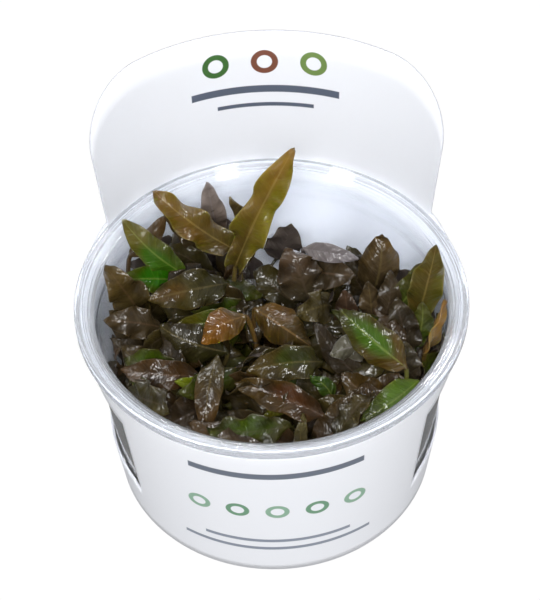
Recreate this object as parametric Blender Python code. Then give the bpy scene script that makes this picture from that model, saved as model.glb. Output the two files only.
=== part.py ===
"""Cryptocoryne wendtii in a clear culture cup, with the paperboard sleeve around the cup.

Metres, +Z up. The origin is the middle of the cup's flat base, and -Y is the front. Sizes that a
maker would read off a drawing are in millimetres here and are turned to metres by MM.
"""

import itertools
import math
from dataclasses import dataclass

import bmesh
import bpy
from mathutils import Vector
from mathutils.bvhtree import BVHTree

MM = 0.001
GAP = 0.3

# The cup, in mm
RIM_RADIUS = 50.0
CUP_HEIGHT = 61.0
WALL = 0.8
BASE_RADIUS = 41.8
LEDGE_HEIGHT = 50.0
LEDGE_STEP = -0.55
MOUTH_RADIUS = 45.0
LIP_DROP = 2.3
CUP_STEPS = 36

# The sleeve, in mm and degrees from the front
BOARD = 0.5
SLEEVE_FOOT_RADIUS = 43.05
SLEEVE_FOOT = 0.3
SLEEVE_TOP = 58.2
FRONT_LEAN = 0.0862
BACK_LEAN = 0.1295
CARD_LEAN = 0.096
LEAN_CHANGE = (60.0, 115.0)
CARD_EDGE = 122.5
CARD_SHOULDER = 83.0
CARD_TOP = 101.4
CARD_CORNER = 20.0
SHOULDER_RISE = (108.0, 2.6)
WINDOW_FRONT, WINDOW_REAR = 53.5, 96.0
WINDOW_TIP, WINDOW_SILL = 13.5, 15.5
WINDOW_CORNER_HEAD, WINDOW_HEAD = 45.5, 50.0
WINDOW_RISE = (5.0, 25.0)
WINDOW_ROUNDING = 7.0
FRONT_STEPS = 7
WINDOW_STEPS = (0.0, 2.0, 6.0, 14.0, 23.5, 33.0, 36.5, 39.5, 41.7)
SIDE_STEPS = 3
CORNER_STEPS = (0.0, 0.6, 1.6, 3.2, 5.5, 8.5, 12.5, 17.5)
CARD_STEPS = 5

# The gel and the plantlets' short stems, in mm
GEL_TOP = 12.0
STEM_HEIGHT = 6.0
STEM_RADIUS = 2.4
STEM_STEPS = 7

# The leaves, in mm
STALK_RADIUS = 0.62
STALK_APPROACH = 3.0
BLADE_THICKNESS = 0.5
STALK_STATIONS = (0.0, 0.34, 0.7)
BLADE_STATIONS = (0.0, 0.1, 0.27, 0.47, 0.67, 0.85)
FOOT_RING = STEM_RADIUS + GAP + STALK_RADIUS + 0.1
DISH = 0.22
FULL_LEAF = (STALK_STATIONS, BLADE_STATIONS, STALK_RADIUS)

# The small low leaves, which are one piece with their stem, in mm from its middle and foot
LOW_COUNT = 5
LOW_REACHES = (16.0, 13.0, 10.0)
LOW_HEIGHTS = ((27.0, 34.0), (22.0, 29.0), (18.0, 25.0), (14.0, 20.0), (10.0, 14.0))
LOW_WIDTH = 7.0
LOW_WALL = 39.0
LOW_TURN = 12
LOW_APART = 48
LOW_LEAF = ((0.0, 0.6), (0.0, 0.3, 0.7), 0.45)
ROOM_AROUND = 0.35

# The cup's open back, where no low leaf grows, as boxes' opposite corners in mm
OPEN_SPACES = (((-4, 27, 15), (12, 37, 62)), ((-2, 20, 40), (20, 33, 62)))
FACING = Vector((0.0, -0.67, 0.74))

CROWNS = {
    "back_left": (-12, 22),
    "left": (-34, 8),
    "front_left": (-22, -14),
    "centre": (0, -1),
    "front": (6, -27),
    "front_right": (30, -14),
    "right": (37, 2),
    "back_right": (18, 13),
}

FINISHES = {
    "clear_plastic": ("#DDE4EE", 0.08),
    "white_board": ("#EEF0F6", 0.45),
    "gel": ("#E6E1CE", 0.3),
    "stem": ("#8A8F4A", 0.4),
    "olive": ("#4A4A1C", 0.3),
    "brown": ("#4A3520", 0.3),
    "dark": ("#2E2A18", 0.3),
    "green": ("#3E7A1A", 0.3),
    "golden": ("#8A7A2C", 0.3),
    "amber": ("#8F5E22", 0.3),
    "grey": ("#6E6870", 0.3),
}


@dataclass(frozen=True)
class Leaf:
    """One leaf: where its blade starts and ends, in mm, and the blade's width, arch and turn."""

    name: str
    crown: str
    heel: tuple
    tip: tuple
    width: float
    arch: float = 1.5
    turn: float = 0.0
    finish: str = "olive"


LEAVES = (
    Leaf("tall_golden", "back_left", (-9, 17, 54), (7, 27, 86), 9.0, 2.0, 0, "golden"),
    Leaf("left_golden", "back_left", (-9, 21, 55), (-30, 27, 72), 8.5, 2.0, 0, "golden"),
    Leaf("grey_upright", "back_left", (-14, 33, 50), (-16, 32, 70), 7.0, 1.0, 0, "grey"),
    Leaf("slender_back", "back_left", (-7, 29, 53), (-10, 26, 70), 4.0, 0.5, 0, "brown"),
    Leaf("back_dark", "back_left", (-18, 25, 50), (-28, 30, 61), 6.0, 1.0, 0, "brown"),
    Leaf("olive_broad", "back_left", (-12, 11, 53), (-32, 5, 54), 10.0, 3.0, 0, "olive"),
    Leaf("bright_green", "left", (-23, 15, 53), (-38, 20, 69), 7.5, 1.5, 0, "green"),
    Leaf("back_brown", "left", (-37, 20, 55), (-27, 28, 62), 5.5, 1.0, 0, "brown"),
    Leaf("green_patch", "left", (-24, 17, 48), (-40, 8, 59), 8.0, 1.5, 0, "green"),
    Leaf("left_speckled", "left", (-34, 8, 44), (-42, 7, 66), 10.0, 2.0, 0, "brown"),
    Leaf("left_low", "left", (-32, 4, 40), (-42, 2, 54), 8.0, 1.5, 0, "olive"),
    Leaf("left_wide", "left", (-29, 1, 48), (-43, -3, 56), 8.5, 2.0, 0, "brown"),
    Leaf("dark_left", "front_left", (-28, -8, 41), (-39, -6, 49), 9.0, 1.5, 0, "olive"),
    Leaf("dark_dome", "front_left", (-12, -8, 48), (-29, -1, 51), 10.0, 3.0, 0, "olive"),
    Leaf("brown_band", "front_left", (-19, -14, 46), (-39, -12, 47), 8.0, 2.0, 0, "brown"),
    Leaf("yellow_spot", "front_left", (-15, -16, 45), (-25, -18, 49), 4.5, 1.0, 0, "green"),
    Leaf("olive_low", "front_left", (-24, -17, 42), (-38, -15, 42), 7.0, 2.0, 0, "olive"),
    Leaf("hanging", "front_left", (-14, -14, 53), (-17, -33, 45), 7.0, 3.0, 0, "olive"),
    Leaf("front_left_dark", "front_left", (-17, -20, 41), (-29, -28, 42), 10.0, 2.0, 0, "dark"),
    Leaf("green_slip", "centre", (-9, 4, 48), (-25, 0, 50), 6.5, 2.0, 0, "green"),
    Leaf("amber", "centre", (-7, -4, 57), (-18, -10, 54), 8.5, 2.0, 0, "amber"),
    Leaf("amber_right", "centre", (-4, 1, 54), (10, -8, 49), 10.0, 2.5, 0, "amber"),
    Leaf("olive_centre_b", "centre", (15, 5, 50), (6, -4, 57), 9.0, 2.5, 0, "olive"),
    Leaf("dark_broad", "centre", (10, 6, 50), (4, 14, 63), 12.0, 1.5, 0, "dark"),
    Leaf("olive_centre", "centre", (12, -13, 49), (-7, -17, 51), 9.0, 2.5, 0, "olive"),
    Leaf("brown_centre", "front", (12, -27, 45), (-10, -19, 49), 8.0, 3.0, 0, "brown"),
    Leaf("yellow_green", "front", (5, -21, 44), (-3, -25, 43), 4.5, 1.0, 0, "green"),
    Leaf("brown_front", "front", (5, -32, 39), (-12, -24, 44), 9.0, 2.5, 0, "brown"),
    Leaf("small_front", "front", (7, -34, 38), (7, -29, 49), 3.5, 0.5, 0, "olive"),
    Leaf("front_right", "front", (10, -33, 39), (20, -22, 48), 9.5, 2.0, 0, "brown"),
    Leaf("small_green", "front", (15, -21, 43), (9, -18, 50), 4.5, 0.8, 0, "green"),
    Leaf("front_right_low", "front", (13, -34, 35), (25, -31, 40), 8.0, 1.5, 0, "brown"),
    Leaf("green_lance", "front_right", (33, -17, 51), (17, -6, 61), 10.0, 2.0, 0, "green"),
    Leaf("grey_green", "front_right", (28, -8, 49), (14, -14, 53), 8.0, 1.5, 0, "grey"),
    Leaf("bottom_green", "front_right", (36, -18, 46), (21, -30, 46), 8.0, 2.0, 0, "green"),
    Leaf("dark_right", "front_right", (36, -13, 42), (33, -12, 55), 7.0, 1.0, 0, "dark"),
    Leaf("brown_right_low", "front_right", (30, -22, 42), (17, -16, 48), 9.0, 2.0, 0, "brown"),
    Leaf("right_amber", "right", (39, -9, 46), (43, -9, 67), 6.0, 1.0, 60, "amber"),
    Leaf("right_olive", "right", (38, 3, 47), (42, 7, 70), 9.0, 1.5, 0, "golden"),
    Leaf("dark_green", "right", (32, 5, 48), (39, 10, 60), 8.0, 1.5, 0, "green"),
    Leaf("dark_right_b", "right", (36, -6, 44), (32, 2, 56), 8.5, 1.0, 0, "dark"),
    Leaf("green_right", "right", (37, -3, 42), (39, 2, 54), 7.0, 1.0, 0, "green"),
    Leaf("small_dark", "back_right", (28, 1, 45), (31, 8, 60), 6.5, 0.8, 0, "dark"),
    Leaf("domed", "back_right", (26, 11, 46), (29, 15, 66), 11.0, 2.0, 0, "olive"),
    Leaf("dark_broad_right", "back_right", (11, 15, 53), (22, 9, 57), 9.0, 2.0, 0, "brown"),
    Leaf("grey_curl", "back_right", (9, 17, 59), (23, 11, 61), 5.0, 1.5, 0, "grey"),
    Leaf("red_brown", "back_right", (19, 3, 44), (19, 7, 54), 6.5, 0.8, 0, "brown"),
    Leaf("olive_small", "back_right", (26, 3, 46), (25, 7, 57), 6.0, 0.8, 0, "olive"),
)


def clear_scene():
    for found in list(bpy.data.objects):
        bpy.data.objects.remove(found, do_unlink=True)


def linear(hex_colour):
    """A hex sRGB colour as linear RGBA."""
    parts = [int(hex_colour[i : i + 2], 16) / 255 for i in (1, 3, 5)]
    return [v / 12.92 if v <= 0.04045 else ((v + 0.055) / 1.055) ** 2.4 for v in parts] + [1.0]


def material(name, finish):
    colour, roughness = FINISHES[finish]
    made = bpy.data.materials.new(name)
    made.use_nodes = True
    shader = made.node_tree.nodes["Principled BSDF"]
    shader.inputs["Base Color"].default_value = linear(colour)
    shader.inputs["Roughness"].default_value = roughness
    shader.inputs["Metallic"].default_value = 0.0
    return made


def add_object(name, mesh, finish, parent):
    """Links a mesh as an object under its parent, smooth shaded, with a material of its own."""
    made = bpy.data.objects.new(name, mesh)
    bpy.context.scene.collection.objects.link(made)
    made.parent = parent
    mesh.materials.append(material(name + "_finish", finish))
    mesh.shade_smooth()
    mesh.set_sharp_from_angle(angle=math.radians(35))
    return made


def add_empty(name, parent=None, location=(0.0, 0.0, 0.0)):
    made = bpy.data.objects.new(name, None)
    bpy.context.scene.collection.objects.link(made)
    made.parent = parent
    made.location = location
    return made


def turned_mesh(name, profile, steps):
    """A closed body turned about Z from (radius, height) points in mm.

    The points run from the axis at the top, down the outer side, and back to the axis.
    """
    shape = bmesh.new()
    rings = []
    for radius, height in profile:
        if radius == 0.0:
            rings.append([shape.verts.new((0.0, 0.0, height * MM))])
            continue
        angles = [math.tau * step / steps for step in range(steps)]
        out = radius * MM
        rings.append([shape.verts.new((out * math.cos(a), out * math.sin(a), height * MM)) for a in angles])
    for upper, lower in zip(rings, rings[1:]):
        for i in range(steps):
            j = (i + 1) % steps
            corners = [ring[k % len(ring)] for ring, k in ((upper, i), (lower, i), (lower, j), (upper, j))]
            shape.faces.new(list(dict.fromkeys(corners)))
    bmesh.ops.recalc_face_normals(shape, faces=shape.faces)
    mesh = bpy.data.meshes.new(name)
    shape.to_mesh(mesh)
    shape.free()
    return mesh


def wall_inside(height):
    """The cup's inner radius at a height below the ledge."""
    low, high = BASE_RADIUS - 0.1, MOUTH_RADIUS - LEDGE_STEP
    return low + (high - low) * (height - 2.0) / (LEDGE_HEIGHT - 2.0)


def cup_profile():
    """Inside from the middle of the floor up to the lip, then down the outside to the base."""
    top = CUP_HEIGHT
    skirt = RIM_RADIUS - WALL
    inside = [
        (0.0, WALL + 0.1),
        (BASE_RADIUS - 1.0, WALL + 0.1),
        (wall_inside(2.0), 2.0),
        (wall_inside(LEDGE_HEIGHT - 0.4), LEDGE_HEIGHT - 0.4),
        (MOUTH_RADIUS - 0.05, LEDGE_HEIGHT + 0.3),
        (MOUTH_RADIUS + 0.1, top - 2.5),
        (RIM_RADIUS - 1.4, top - 0.5),
        (RIM_RADIUS - 0.45, top),
        (RIM_RADIUS, top - 0.5),
    ]
    outside = [
        (RIM_RADIUS, top - LIP_DROP),
        (skirt, top - LIP_DROP),
        (skirt, top - 1.3),
        (MOUTH_RADIUS + 1.2, top - 2.75),
        (MOUTH_RADIUS + WALL, LEDGE_HEIGHT),
        (MOUTH_RADIUS + WALL - LEDGE_STEP, LEDGE_HEIGHT - 0.7),
        (BASE_RADIUS + 0.6, 1.2),
        (BASE_RADIUS - 0.4, 0.0),
        (0.0, 0.0),
    ]
    return inside + outside


def smooth_step(value, low, high):
    """0 below low, 1 above high, with an easy change between."""
    share = min(max((value - low) / (high - low), 0.0), 1.0)
    return share * share * (3 - 2 * share)


def sleeve_radius(angle, height):
    """The board's middle: a cone that opens out more at the back, so that the card clears the lip."""
    share = smooth_step(abs(angle), *LEAN_CHANGE)
    lean = FRONT_LEAN + (BACK_LEAN - FRONT_LEAN) * share
    above = max(height - SLEEVE_TOP, 0.0)
    return SLEEVE_FOOT_RADIUS + lean * min(height, SLEEVE_TOP) + CARD_LEAN * above


def card_top(angle):
    """The raised card's top edge, level across the middle and round at its corners."""
    arc = math.radians(180 - abs(angle)) * sleeve_radius(angle, CARD_SHOULDER)
    edge = math.radians(180 - CARD_EDGE) * sleeve_radius(CARD_EDGE, CARD_SHOULDER)
    into_corner = max(arc - (edge - CARD_CORNER), 0.0) / CARD_CORNER
    rise = CARD_TOP - CARD_SHOULDER
    return CARD_SHOULDER + rise * math.sqrt(max(1 - into_corner**2, 0.0))


def window_rounding(angle):
    """How far the window's round rear corners come in from its edges at an angle, in mm."""
    arc = math.radians(WINDOW_REAR - abs(angle)) * sleeve_radius(WINDOW_REAR, WINDOW_SILL)
    into_corner = max(1 - arc / WINDOW_ROUNDING, 0.0)
    return WINDOW_ROUNDING * (1 - math.sqrt(max(1 - into_corner**2, 0.0)))


def window_floor(angle):
    """The window's lower edge, from its low front tip along a level sill to its round rear corner."""
    rise = smooth_step(abs(angle) - WINDOW_FRONT, 0.0, WINDOW_RISE[0])
    return WINDOW_TIP + (WINDOW_SILL - WINDOW_TIP) * rise + window_rounding(angle)


def window_head(angle):
    """The window's upper edge, which climbs from its front corner to a level run behind the lip."""
    rise = smooth_step(abs(angle) - WINDOW_FRONT, 0.0, WINDOW_RISE[1])
    return WINDOW_CORNER_HEAD + (WINDOW_HEAD - WINDOW_CORNER_HEAD) * rise - window_rounding(angle)


def sleeve_rows(angle):
    """Heights of the sheet's rows at one angle, from the foot to the card's top."""
    around = min(max(abs(angle), WINDOW_FRONT), WINDOW_REAR)
    start, rise = SHOULDER_RISE
    edge = SLEEVE_TOP + rise * smooth_step(abs(angle), start, CARD_EDGE)
    top = card_top(max(abs(angle), CARD_EDGE))
    return (SLEEVE_FOOT, window_floor(around), window_head(around), edge, top)


def sleeve_angles():
    """Angles of the sheet's columns, from the back round the front to the back."""
    half = [WINDOW_FRONT * i / FRONT_STEPS for i in range(FRONT_STEPS)]
    half += [WINDOW_FRONT + step for step in WINDOW_STEPS]
    half += [WINDOW_REAR + (CARD_EDGE - WINDOW_REAR) * i / SIDE_STEPS for i in range(SIDE_STEPS)]
    half += [CARD_EDGE + step for step in CORNER_STEPS]
    last = half[-1]
    half += [last + (180.0 - last) * i / CARD_STEPS for i in range(1, CARD_STEPS + 1)]
    return [-a for a in reversed(half[1:-1])] + half


def column_faces(left, right, kind):
    """The sheet's faces between two columns of points, from the foot upwards."""
    if kind == "window":
        return [(left[0], right[0], right[1], left[1]), (left[2], right[2], right[3], left[3])]
    if kind == "card":
        return [(left[i], right[i], right[j], left[j]) for i, j in ((0, 3), (3, 4))]
    return [(left[0], right[0], *right[1:4], *reversed(left[1:4]))]


def build_sleeve(parent):
    """The board as one sheet of rows and columns, open at the windows, thickened by a Solidify."""
    angles = sleeve_angles()
    shape = bmesh.new()
    columns = []
    for angle in angles:
        beside_window = WINDOW_FRONT <= abs(angle) <= WINDOW_REAR
        beside_card = abs(angle) >= CARD_EDGE
        column = []
        for row, height in enumerate(sleeve_rows(angle)):
            out = sleeve_radius(angle, height) * MM
            turn = math.radians(angle)
            needed = {0: True, 1: beside_window, 2: beside_window, 3: True}.get(row, beside_card)
            spot = (out * math.sin(turn), -out * math.cos(turn), height * MM)
            column.append(shape.verts.new(spot) if needed else None)
        columns.append(column)
    for i, angle in enumerate(angles):
        j = (i + 1) % len(angles)
        middle = abs(angle + angles[j]) / 2 if j else 180.0
        kind = "plain"
        if WINDOW_FRONT < middle < WINDOW_REAR:
            kind = "window"
        elif middle > CARD_EDGE:
            kind = "card"
        for corners in column_faces(columns[i], columns[j], kind):
            shape.faces.new([corner for corner in corners if corner is not None])
    bmesh.ops.recalc_face_normals(shape, faces=shape.faces)
    mesh = bpy.data.meshes.new("sleeve")
    shape.to_mesh(mesh)
    shape.free()
    sleeve = add_object("sleeve", mesh, "white_board", parent)
    board = sleeve.modifiers.new("board", "SOLIDIFY")
    board.thickness = BOARD * MM
    board.offset = 0.0
    return sleeve


def gel_profile():
    radius = wall_inside(GEL_TOP) - GAP
    foot = BASE_RADIUS - 1.0 - GAP
    low = WALL + 0.1 + GAP
    return [(0.0, GEL_TOP), (radius, GEL_TOP), (wall_inside(2.5) - GAP, 2.5), (foot - 0.4, low), (0.0, low)]


def stem_profile():
    """A short stem, thickest near its foot, that the leaf stalks stand around."""
    return [
        (0.0, STEM_HEIGHT),
        (0.5 * STEM_RADIUS, STEM_HEIGHT - 0.3),
        (0.85 * STEM_RADIUS, 0.55 * STEM_HEIGHT),
        (STEM_RADIUS, 0.15 * STEM_HEIGHT),
        (0.8 * STEM_RADIUS, 0.0),
        (0.0, 0.0),
    ]


def bezier(points, share):
    """A point on the Bezier curve of any degree through its control points."""
    while len(points) > 1:
        points = [a.lerp(b, share) for a, b in zip(points, points[1:])]
    return points[0]


def across(vector, along):
    """The part of a vector that is square to a direction, at length 1."""
    along = along.normalized()
    return (vector - vector.dot(along) * along).normalized()


def blade_width(share):
    """How wide a blade is along its length, 1 at its widest: a lance shape with a drawn-out tip."""
    return 2.67 * (share**0.6) * ((1 - share) ** 0.85)


def leaf_curves(leaf, foot):
    """Control points of the stalk and of the blade's midrib."""
    heel, tip = Vector(leaf.heel), Vector(leaf.tip)
    chord = tip - heel
    middle = (heel + tip) / 2 + 2 * leaf.arch * across(FACING, chord)
    way = (middle - heel).normalized()
    rise = (heel - foot).length
    stalk = [foot, foot + Vector((0, 0, 0.35 * rise)), heel - STALK_APPROACH * way, heel]
    return stalk, [heel, middle, tip]


def leaf_stations(leaf, foot, build):
    """(point, half width, half depth, blade) of each section from the foot to near the tip."""
    stalk, blade = leaf_curves(leaf, foot)
    along_stalk, along_blade, radius = build
    stations = [(bezier(stalk, share), radius, radius, False) for share in along_stalk]
    for share in along_blade:
        half = max(leaf.width / 2 * blade_width(share), radius)
        depth = BLADE_THICKNESS / 2 if share > 0 else radius * 0.8
        stations.append((bezier(blade, share), half, depth, share > 0))
    return stations


def leaf_sides(leaf, points, middle):
    """(side, face) directions at each point, carried evenly both ways from the blade's middle."""
    count = len(points)
    ways = [(points[min(i + 1, count - 1)] - points[max(i - 1, 0)]).normalized() for i in range(count)]
    faces = [None] * count
    chord = Vector(leaf.tip) - Vector(leaf.heel)
    face = across(FACING, chord)
    side = chord.normalized().cross(face)
    turn = math.radians(leaf.turn)
    face = face * math.cos(turn) + side * math.sin(turn)
    for order in (range(middle, count), range(middle - 1, -1, -1)):
        carried = face
        for i in order:
            carried = across(carried, ways[i])
            faces[i] = carried
    return [(way.cross(face).normalized(), face) for way, face in zip(ways, faces)]


def leaf_mesh(leaf, foot, origin, build=FULL_LEAF):
    """A leaf as one closed body: a six-sided stalk that opens into a thin, dished blade."""
    stations = leaf_stations(leaf, foot, build)
    points = [station[0] for station in stations] + [Vector(leaf.tip)]
    sides = leaf_sides(leaf, points, len(build[0]) + len(build[1]) // 2)
    shape = bmesh.new()
    rings = []
    for (point, half, depth, blade), (side, face) in zip(stations, sides):
        inner = 0.4 if blade else 0.5
        rim = DISH * half if blade else 0.0
        shifts = (
            -half * side + rim * face,
            -half * inner * side + depth * face,
            half * inner * side + depth * face,
            half * side + rim * face,
            half * inner * side - depth * face,
            -half * inner * side - depth * face,
        )
        rings.append([shape.verts.new((point + shift) * MM - origin) for shift in shifts])
    for lower, upper in zip(rings, rings[1:]):
        for i in range(6):
            j = (i + 1) % 6
            shape.faces.new((lower[i], lower[j], upper[j], upper[i]))
    end = shape.verts.new(Vector(leaf.tip) * MM - origin)
    for i in range(6):
        shape.faces.new((rings[-1][i], rings[-1][(i + 1) % 6], end))
    shape.faces.new(list(reversed(rings[0])))
    bmesh.ops.recalc_face_normals(shape, faces=shape.faces)
    mesh = bpy.data.meshes.new("leaf_" + leaf.name)
    shape.to_mesh(mesh)
    shape.free()
    return mesh


def build_leaf(leaf, foot, parent):
    mesh = leaf_mesh(leaf, foot, parent.matrix_world.translation)
    return add_object("leaf_" + leaf.name, mesh, leaf.finish, parent)


def stalk_turns(crown, leaves):
    """The leaves of a plantlet in order around its stem, and the angle that each stalk starts at."""
    middle = Vector(CROWNS[crown])

    def heading(leaf):
        way = Vector(leaf.heel[:2]) - middle
        return math.atan2(way.y, way.x)

    ordered = sorted(leaves, key=heading)
    gap = math.tau / len(ordered)
    start = sum(heading(leaf) - gap * i for i, leaf in enumerate(ordered)) / len(ordered)
    return [(leaf, start + gap * i) for i, leaf in enumerate(ordered)]


def around(crown, angle, out, height):
    """The point at an angle and distance from a stem's middle, at a height above its foot."""
    x, y = CROWNS[crown]
    return Vector((x + out * math.cos(angle), y + out * math.sin(angle), GEL_TOP + GAP + height))


def tree_of(mesh, origin=Vector()):
    """A mesh's faces, in world space, for finding what they touch."""
    corners = [v.co + origin for v in mesh.vertices]
    return BVHTree.FromPolygons(corners, [tuple(f.vertices) for f in mesh.polygons])


def box_tree(low, high):
    """A box's faces, for keeping leaves out of it."""
    corners = [Vector(corner) * MM for corner in itertools.product(*zip(low, high))]
    faces = [(0, 1, 3, 2), (4, 6, 7, 5), (0, 4, 5, 1), (2, 3, 7, 6), (0, 2, 6, 4), (1, 5, 7, 3)]
    return BVHTree.FromPolygons(corners, faces)


def low_leaf(crown, angle, reach, heights, room=0.0):
    """A small leaf and where its stalk starts inside the stem, swollen by the room to keep around it."""
    heel = around(crown, angle, 0.45 * reach, heights[0])
    tip = around(crown, angle, reach + room, heights[1])
    leaf = Leaf(f"low_{crown}", crown, tuple(heel), tuple(tip), LOW_WIDTH + 2 * room, 1.0)
    return leaf, around(crown, angle, 0.3, 0.5 * STEM_HEIGHT)


def low_leaves(crown, taken):
    """The small leaves that spread low from a stem wherever the long stalks leave room for one."""
    kept = []
    along_stalk, along_blade, radius = LOW_LEAF
    swollen = (along_stalk, along_blade, radius + ROOM_AROUND)
    for heights, reach in itertools.product(LOW_HEIGHTS, LOW_REACHES):
        for degrees in range(0, 360, LOW_TURN):
            angle = math.radians(degrees)
            near = any(abs((degrees - other + 180) % 360 - 180) < LOW_APART for other, _ in kept)
            if near or around(crown, angle, reach, 0).xy.length > LOW_WALL or len(kept) == LOW_COUNT:
                continue
            leaf, foot = low_leaf(crown, angle, reach, heights, ROOM_AROUND)
            trial = tree_of(leaf_mesh(leaf, foot, Vector(), swollen))
            if not any(trial.overlap(other) for other in taken):
                kept.append((degrees, low_leaf(crown, angle, reach, heights)))
    return [made for _, made in kept]


def build_crown(crown, parent, taken):
    """The short stem with its low leaves joined to it as one body."""
    stem = turned_mesh("crown_" + crown, stem_profile(), STEM_STEPS)
    made = add_object("crown_" + crown, stem, "stem", parent)
    group = bpy.data.collections.new("low_leaves_" + crown)
    bpy.context.scene.collection.children.link(group)
    for leaf, foot in low_leaves(crown, taken):
        mesh = leaf_mesh(leaf, foot, parent.matrix_world.translation, LOW_LEAF)
        taken.append(tree_of(mesh, parent.matrix_world.translation))
        joined = bpy.data.objects.new("joined_" + leaf.name, mesh)
        joined.parent = parent
        joined.hide_render = True
        joined.display_type = "WIRE"
        group.objects.link(joined)
    join = made.modifiers.new("low leaves", "BOOLEAN")
    join.operation = "UNION"
    join.operand_type = "COLLECTION"
    join.collection = group
    return made


def build_plantlets(parent):
    """Every plantlet's long leaves first, and then the stems with their low leaves between them."""
    spots = {}
    taken = [box_tree(*space) for space in OPEN_SPACES]
    for crown, (x, y) in CROWNS.items():
        spots[crown] = add_empty("plantlet_" + crown, parent, (x * MM, y * MM, (GEL_TOP + GAP) * MM))
    bpy.context.view_layer.update()
    for crown, spot in spots.items():
        leaves = [leaf for leaf in LEAVES if leaf.crown == crown]
        for leaf, angle in stalk_turns(crown, leaves):
            made = build_leaf(leaf, around(crown, angle, FOOT_RING, 0.0), spot)
            taken.append(tree_of(made.data, spot.matrix_world.translation))
    for crown, spot in spots.items():
        build_crown(crown, spot, taken)


def main():
    clear_scene()
    pot = add_empty("potted_plant")
    add_object("cup", turned_mesh("cup", cup_profile(), CUP_STEPS), "clear_plastic", pot)
    build_sleeve(pot)
    add_object("growing_gel", turned_mesh("growing_gel", gel_profile(), CUP_STEPS // 2), "gel", pot)
    build_plantlets(pot)


main()
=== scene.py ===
"""Looks of young Cryptocoryne wendtii plants in their clear culture cup and white board sleeve.

Metres, +Z up. The origin is the middle of the cup's flat underside, and -Y is the front. Sizes that a
maker would read off a drawing are in millimetres and are turned to metres by MM.
"""

import itertools
import logging
import math
import random
from dataclasses import dataclass, field, replace
from enum import Enum
from typing import Iterable, Sequence

import bmesh
import bpy
from bmesh.types import BMesh, BMVert
from bpy.types import Material, Mesh, Node, NodeSocket, Object
from mathutils import Matrix, Vector, noise
from mathutils.bvhtree import BVHTree

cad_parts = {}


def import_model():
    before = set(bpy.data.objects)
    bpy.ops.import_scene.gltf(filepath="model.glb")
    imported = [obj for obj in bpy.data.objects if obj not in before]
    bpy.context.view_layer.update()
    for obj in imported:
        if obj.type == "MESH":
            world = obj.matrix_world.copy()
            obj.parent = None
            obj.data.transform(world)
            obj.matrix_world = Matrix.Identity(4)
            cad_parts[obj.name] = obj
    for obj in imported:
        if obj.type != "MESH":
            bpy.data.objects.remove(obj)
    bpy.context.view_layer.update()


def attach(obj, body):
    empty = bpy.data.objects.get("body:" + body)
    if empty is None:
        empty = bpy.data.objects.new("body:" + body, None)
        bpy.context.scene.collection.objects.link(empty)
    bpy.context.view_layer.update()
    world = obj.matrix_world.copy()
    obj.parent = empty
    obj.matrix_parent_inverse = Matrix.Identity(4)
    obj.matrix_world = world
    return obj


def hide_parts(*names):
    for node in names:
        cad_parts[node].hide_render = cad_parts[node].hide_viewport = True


LOG = logging.getLogger("plant_cup")
MM = 0.001
BODY = "root"
Pair = tuple[float, float]
Point = tuple[float, float, float]
Colour = tuple[float, float, float, float]


def linear(hex_colour: str) -> Colour:
    """A hex sRGB colour as linear RGBA.

    Args:
        hex_colour: six hex digits after a hash sign.

    Returns:
        Linear red, green, blue and an alpha of 1.
    """
    parts = [int(hex_colour[i : i + 2], 16) / 255 for i in (1, 3, 5)]
    red, green, blue = (v / 12.92 if v <= 0.04045 else ((v + 0.055) / 1.055) ** 2.4 for v in parts)
    return red, green, blue, 1.0


def smooth_step(value: float, low: float, high: float) -> float:
    """0 below low, 1 above high, with an easy change between."""
    share = min(max((value - low) / (high - low), 0.0), 1.0)
    return share * share * (3 - 2 * share)


def bezier(points: Sequence[Vector], share: float) -> Vector:
    """A point on the Bezier curve of any degree through its control points."""
    row = list(points)
    while len(row) > 1:
        row = [a.lerp(b, share) for a, b in zip(row, row[1:])]
    return row[0]


def across(vector: Vector, along: Vector) -> Vector:
    """The part of a vector that is square to a direction, at length 1."""
    along = along.normalized()
    return (vector - vector.dot(along) * along).normalized()


def link(made: Object) -> Object:
    """Puts a new object into the scene."""
    bpy.context.scene.collection.objects.link(made)
    return made


def add_piece(name: str, mesh: Mesh, materials: Iterable[Material]) -> Object:
    """Links a mesh as a smooth shaded piece that rides on the object's one body.

    Args:
        name: the piece's name.
        mesh: its mesh, in the object's own frame.
        materials: its material slots, in order.

    Returns:
        The new object.
    """
    made = link(bpy.data.objects.new(name, mesh))
    for each in materials:
        mesh.materials.append(each)
    mesh.shade_smooth()
    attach(made, BODY)
    LOG.info("%s: %d faces", name, len(mesh.polygons))
    return made


def skin_rings(shape: BMesh, rings: Sequence[Sequence[BMVert]]) -> None:
    """Joins each ring of vertices to the next one with faces; a ring of one vertex is a closed end."""
    count = max(map(len, rings))
    for upper, lower in zip(rings, rings[1:]):
        for i in range(count):
            j = (i + 1) % count
            corners = [ring[k % len(ring)] for ring, k in ((upper, i), (lower, i), (lower, j), (upper, j))]
            shape.faces.new(list(dict.fromkeys(corners)))


def finish_shape(shape: BMesh, name: str) -> Mesh:
    """Turns a shape into a mesh with its faces pointing out."""
    bmesh.ops.recalc_face_normals(shape, faces=shape.faces)
    mesh = bpy.data.meshes.new(name)
    shape.to_mesh(mesh)
    shape.free()
    return mesh


def turned_mesh(name: str, profile: Sequence[Pair], steps: int) -> Mesh:
    """A closed body turned about Z.

    Args:
        name: the mesh's name.
        profile: (radius, height) points in mm, from the axis round to the axis again.
        steps: how many columns go round.

    Returns:
        The mesh, with its faces pointing out.
    """
    shape = bmesh.new()
    rings = []
    turns = [math.tau * step / steps for step in range(steps)]
    for radius, height in profile:
        spots = turns if radius else turns[:1]
        out = radius * MM
        rings.append([shape.verts.new((out * math.cos(a), out * math.sin(a), height * MM)) for a in spots])
    skin_rings(shape, rings)
    return finish_shape(shape, name)


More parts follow.
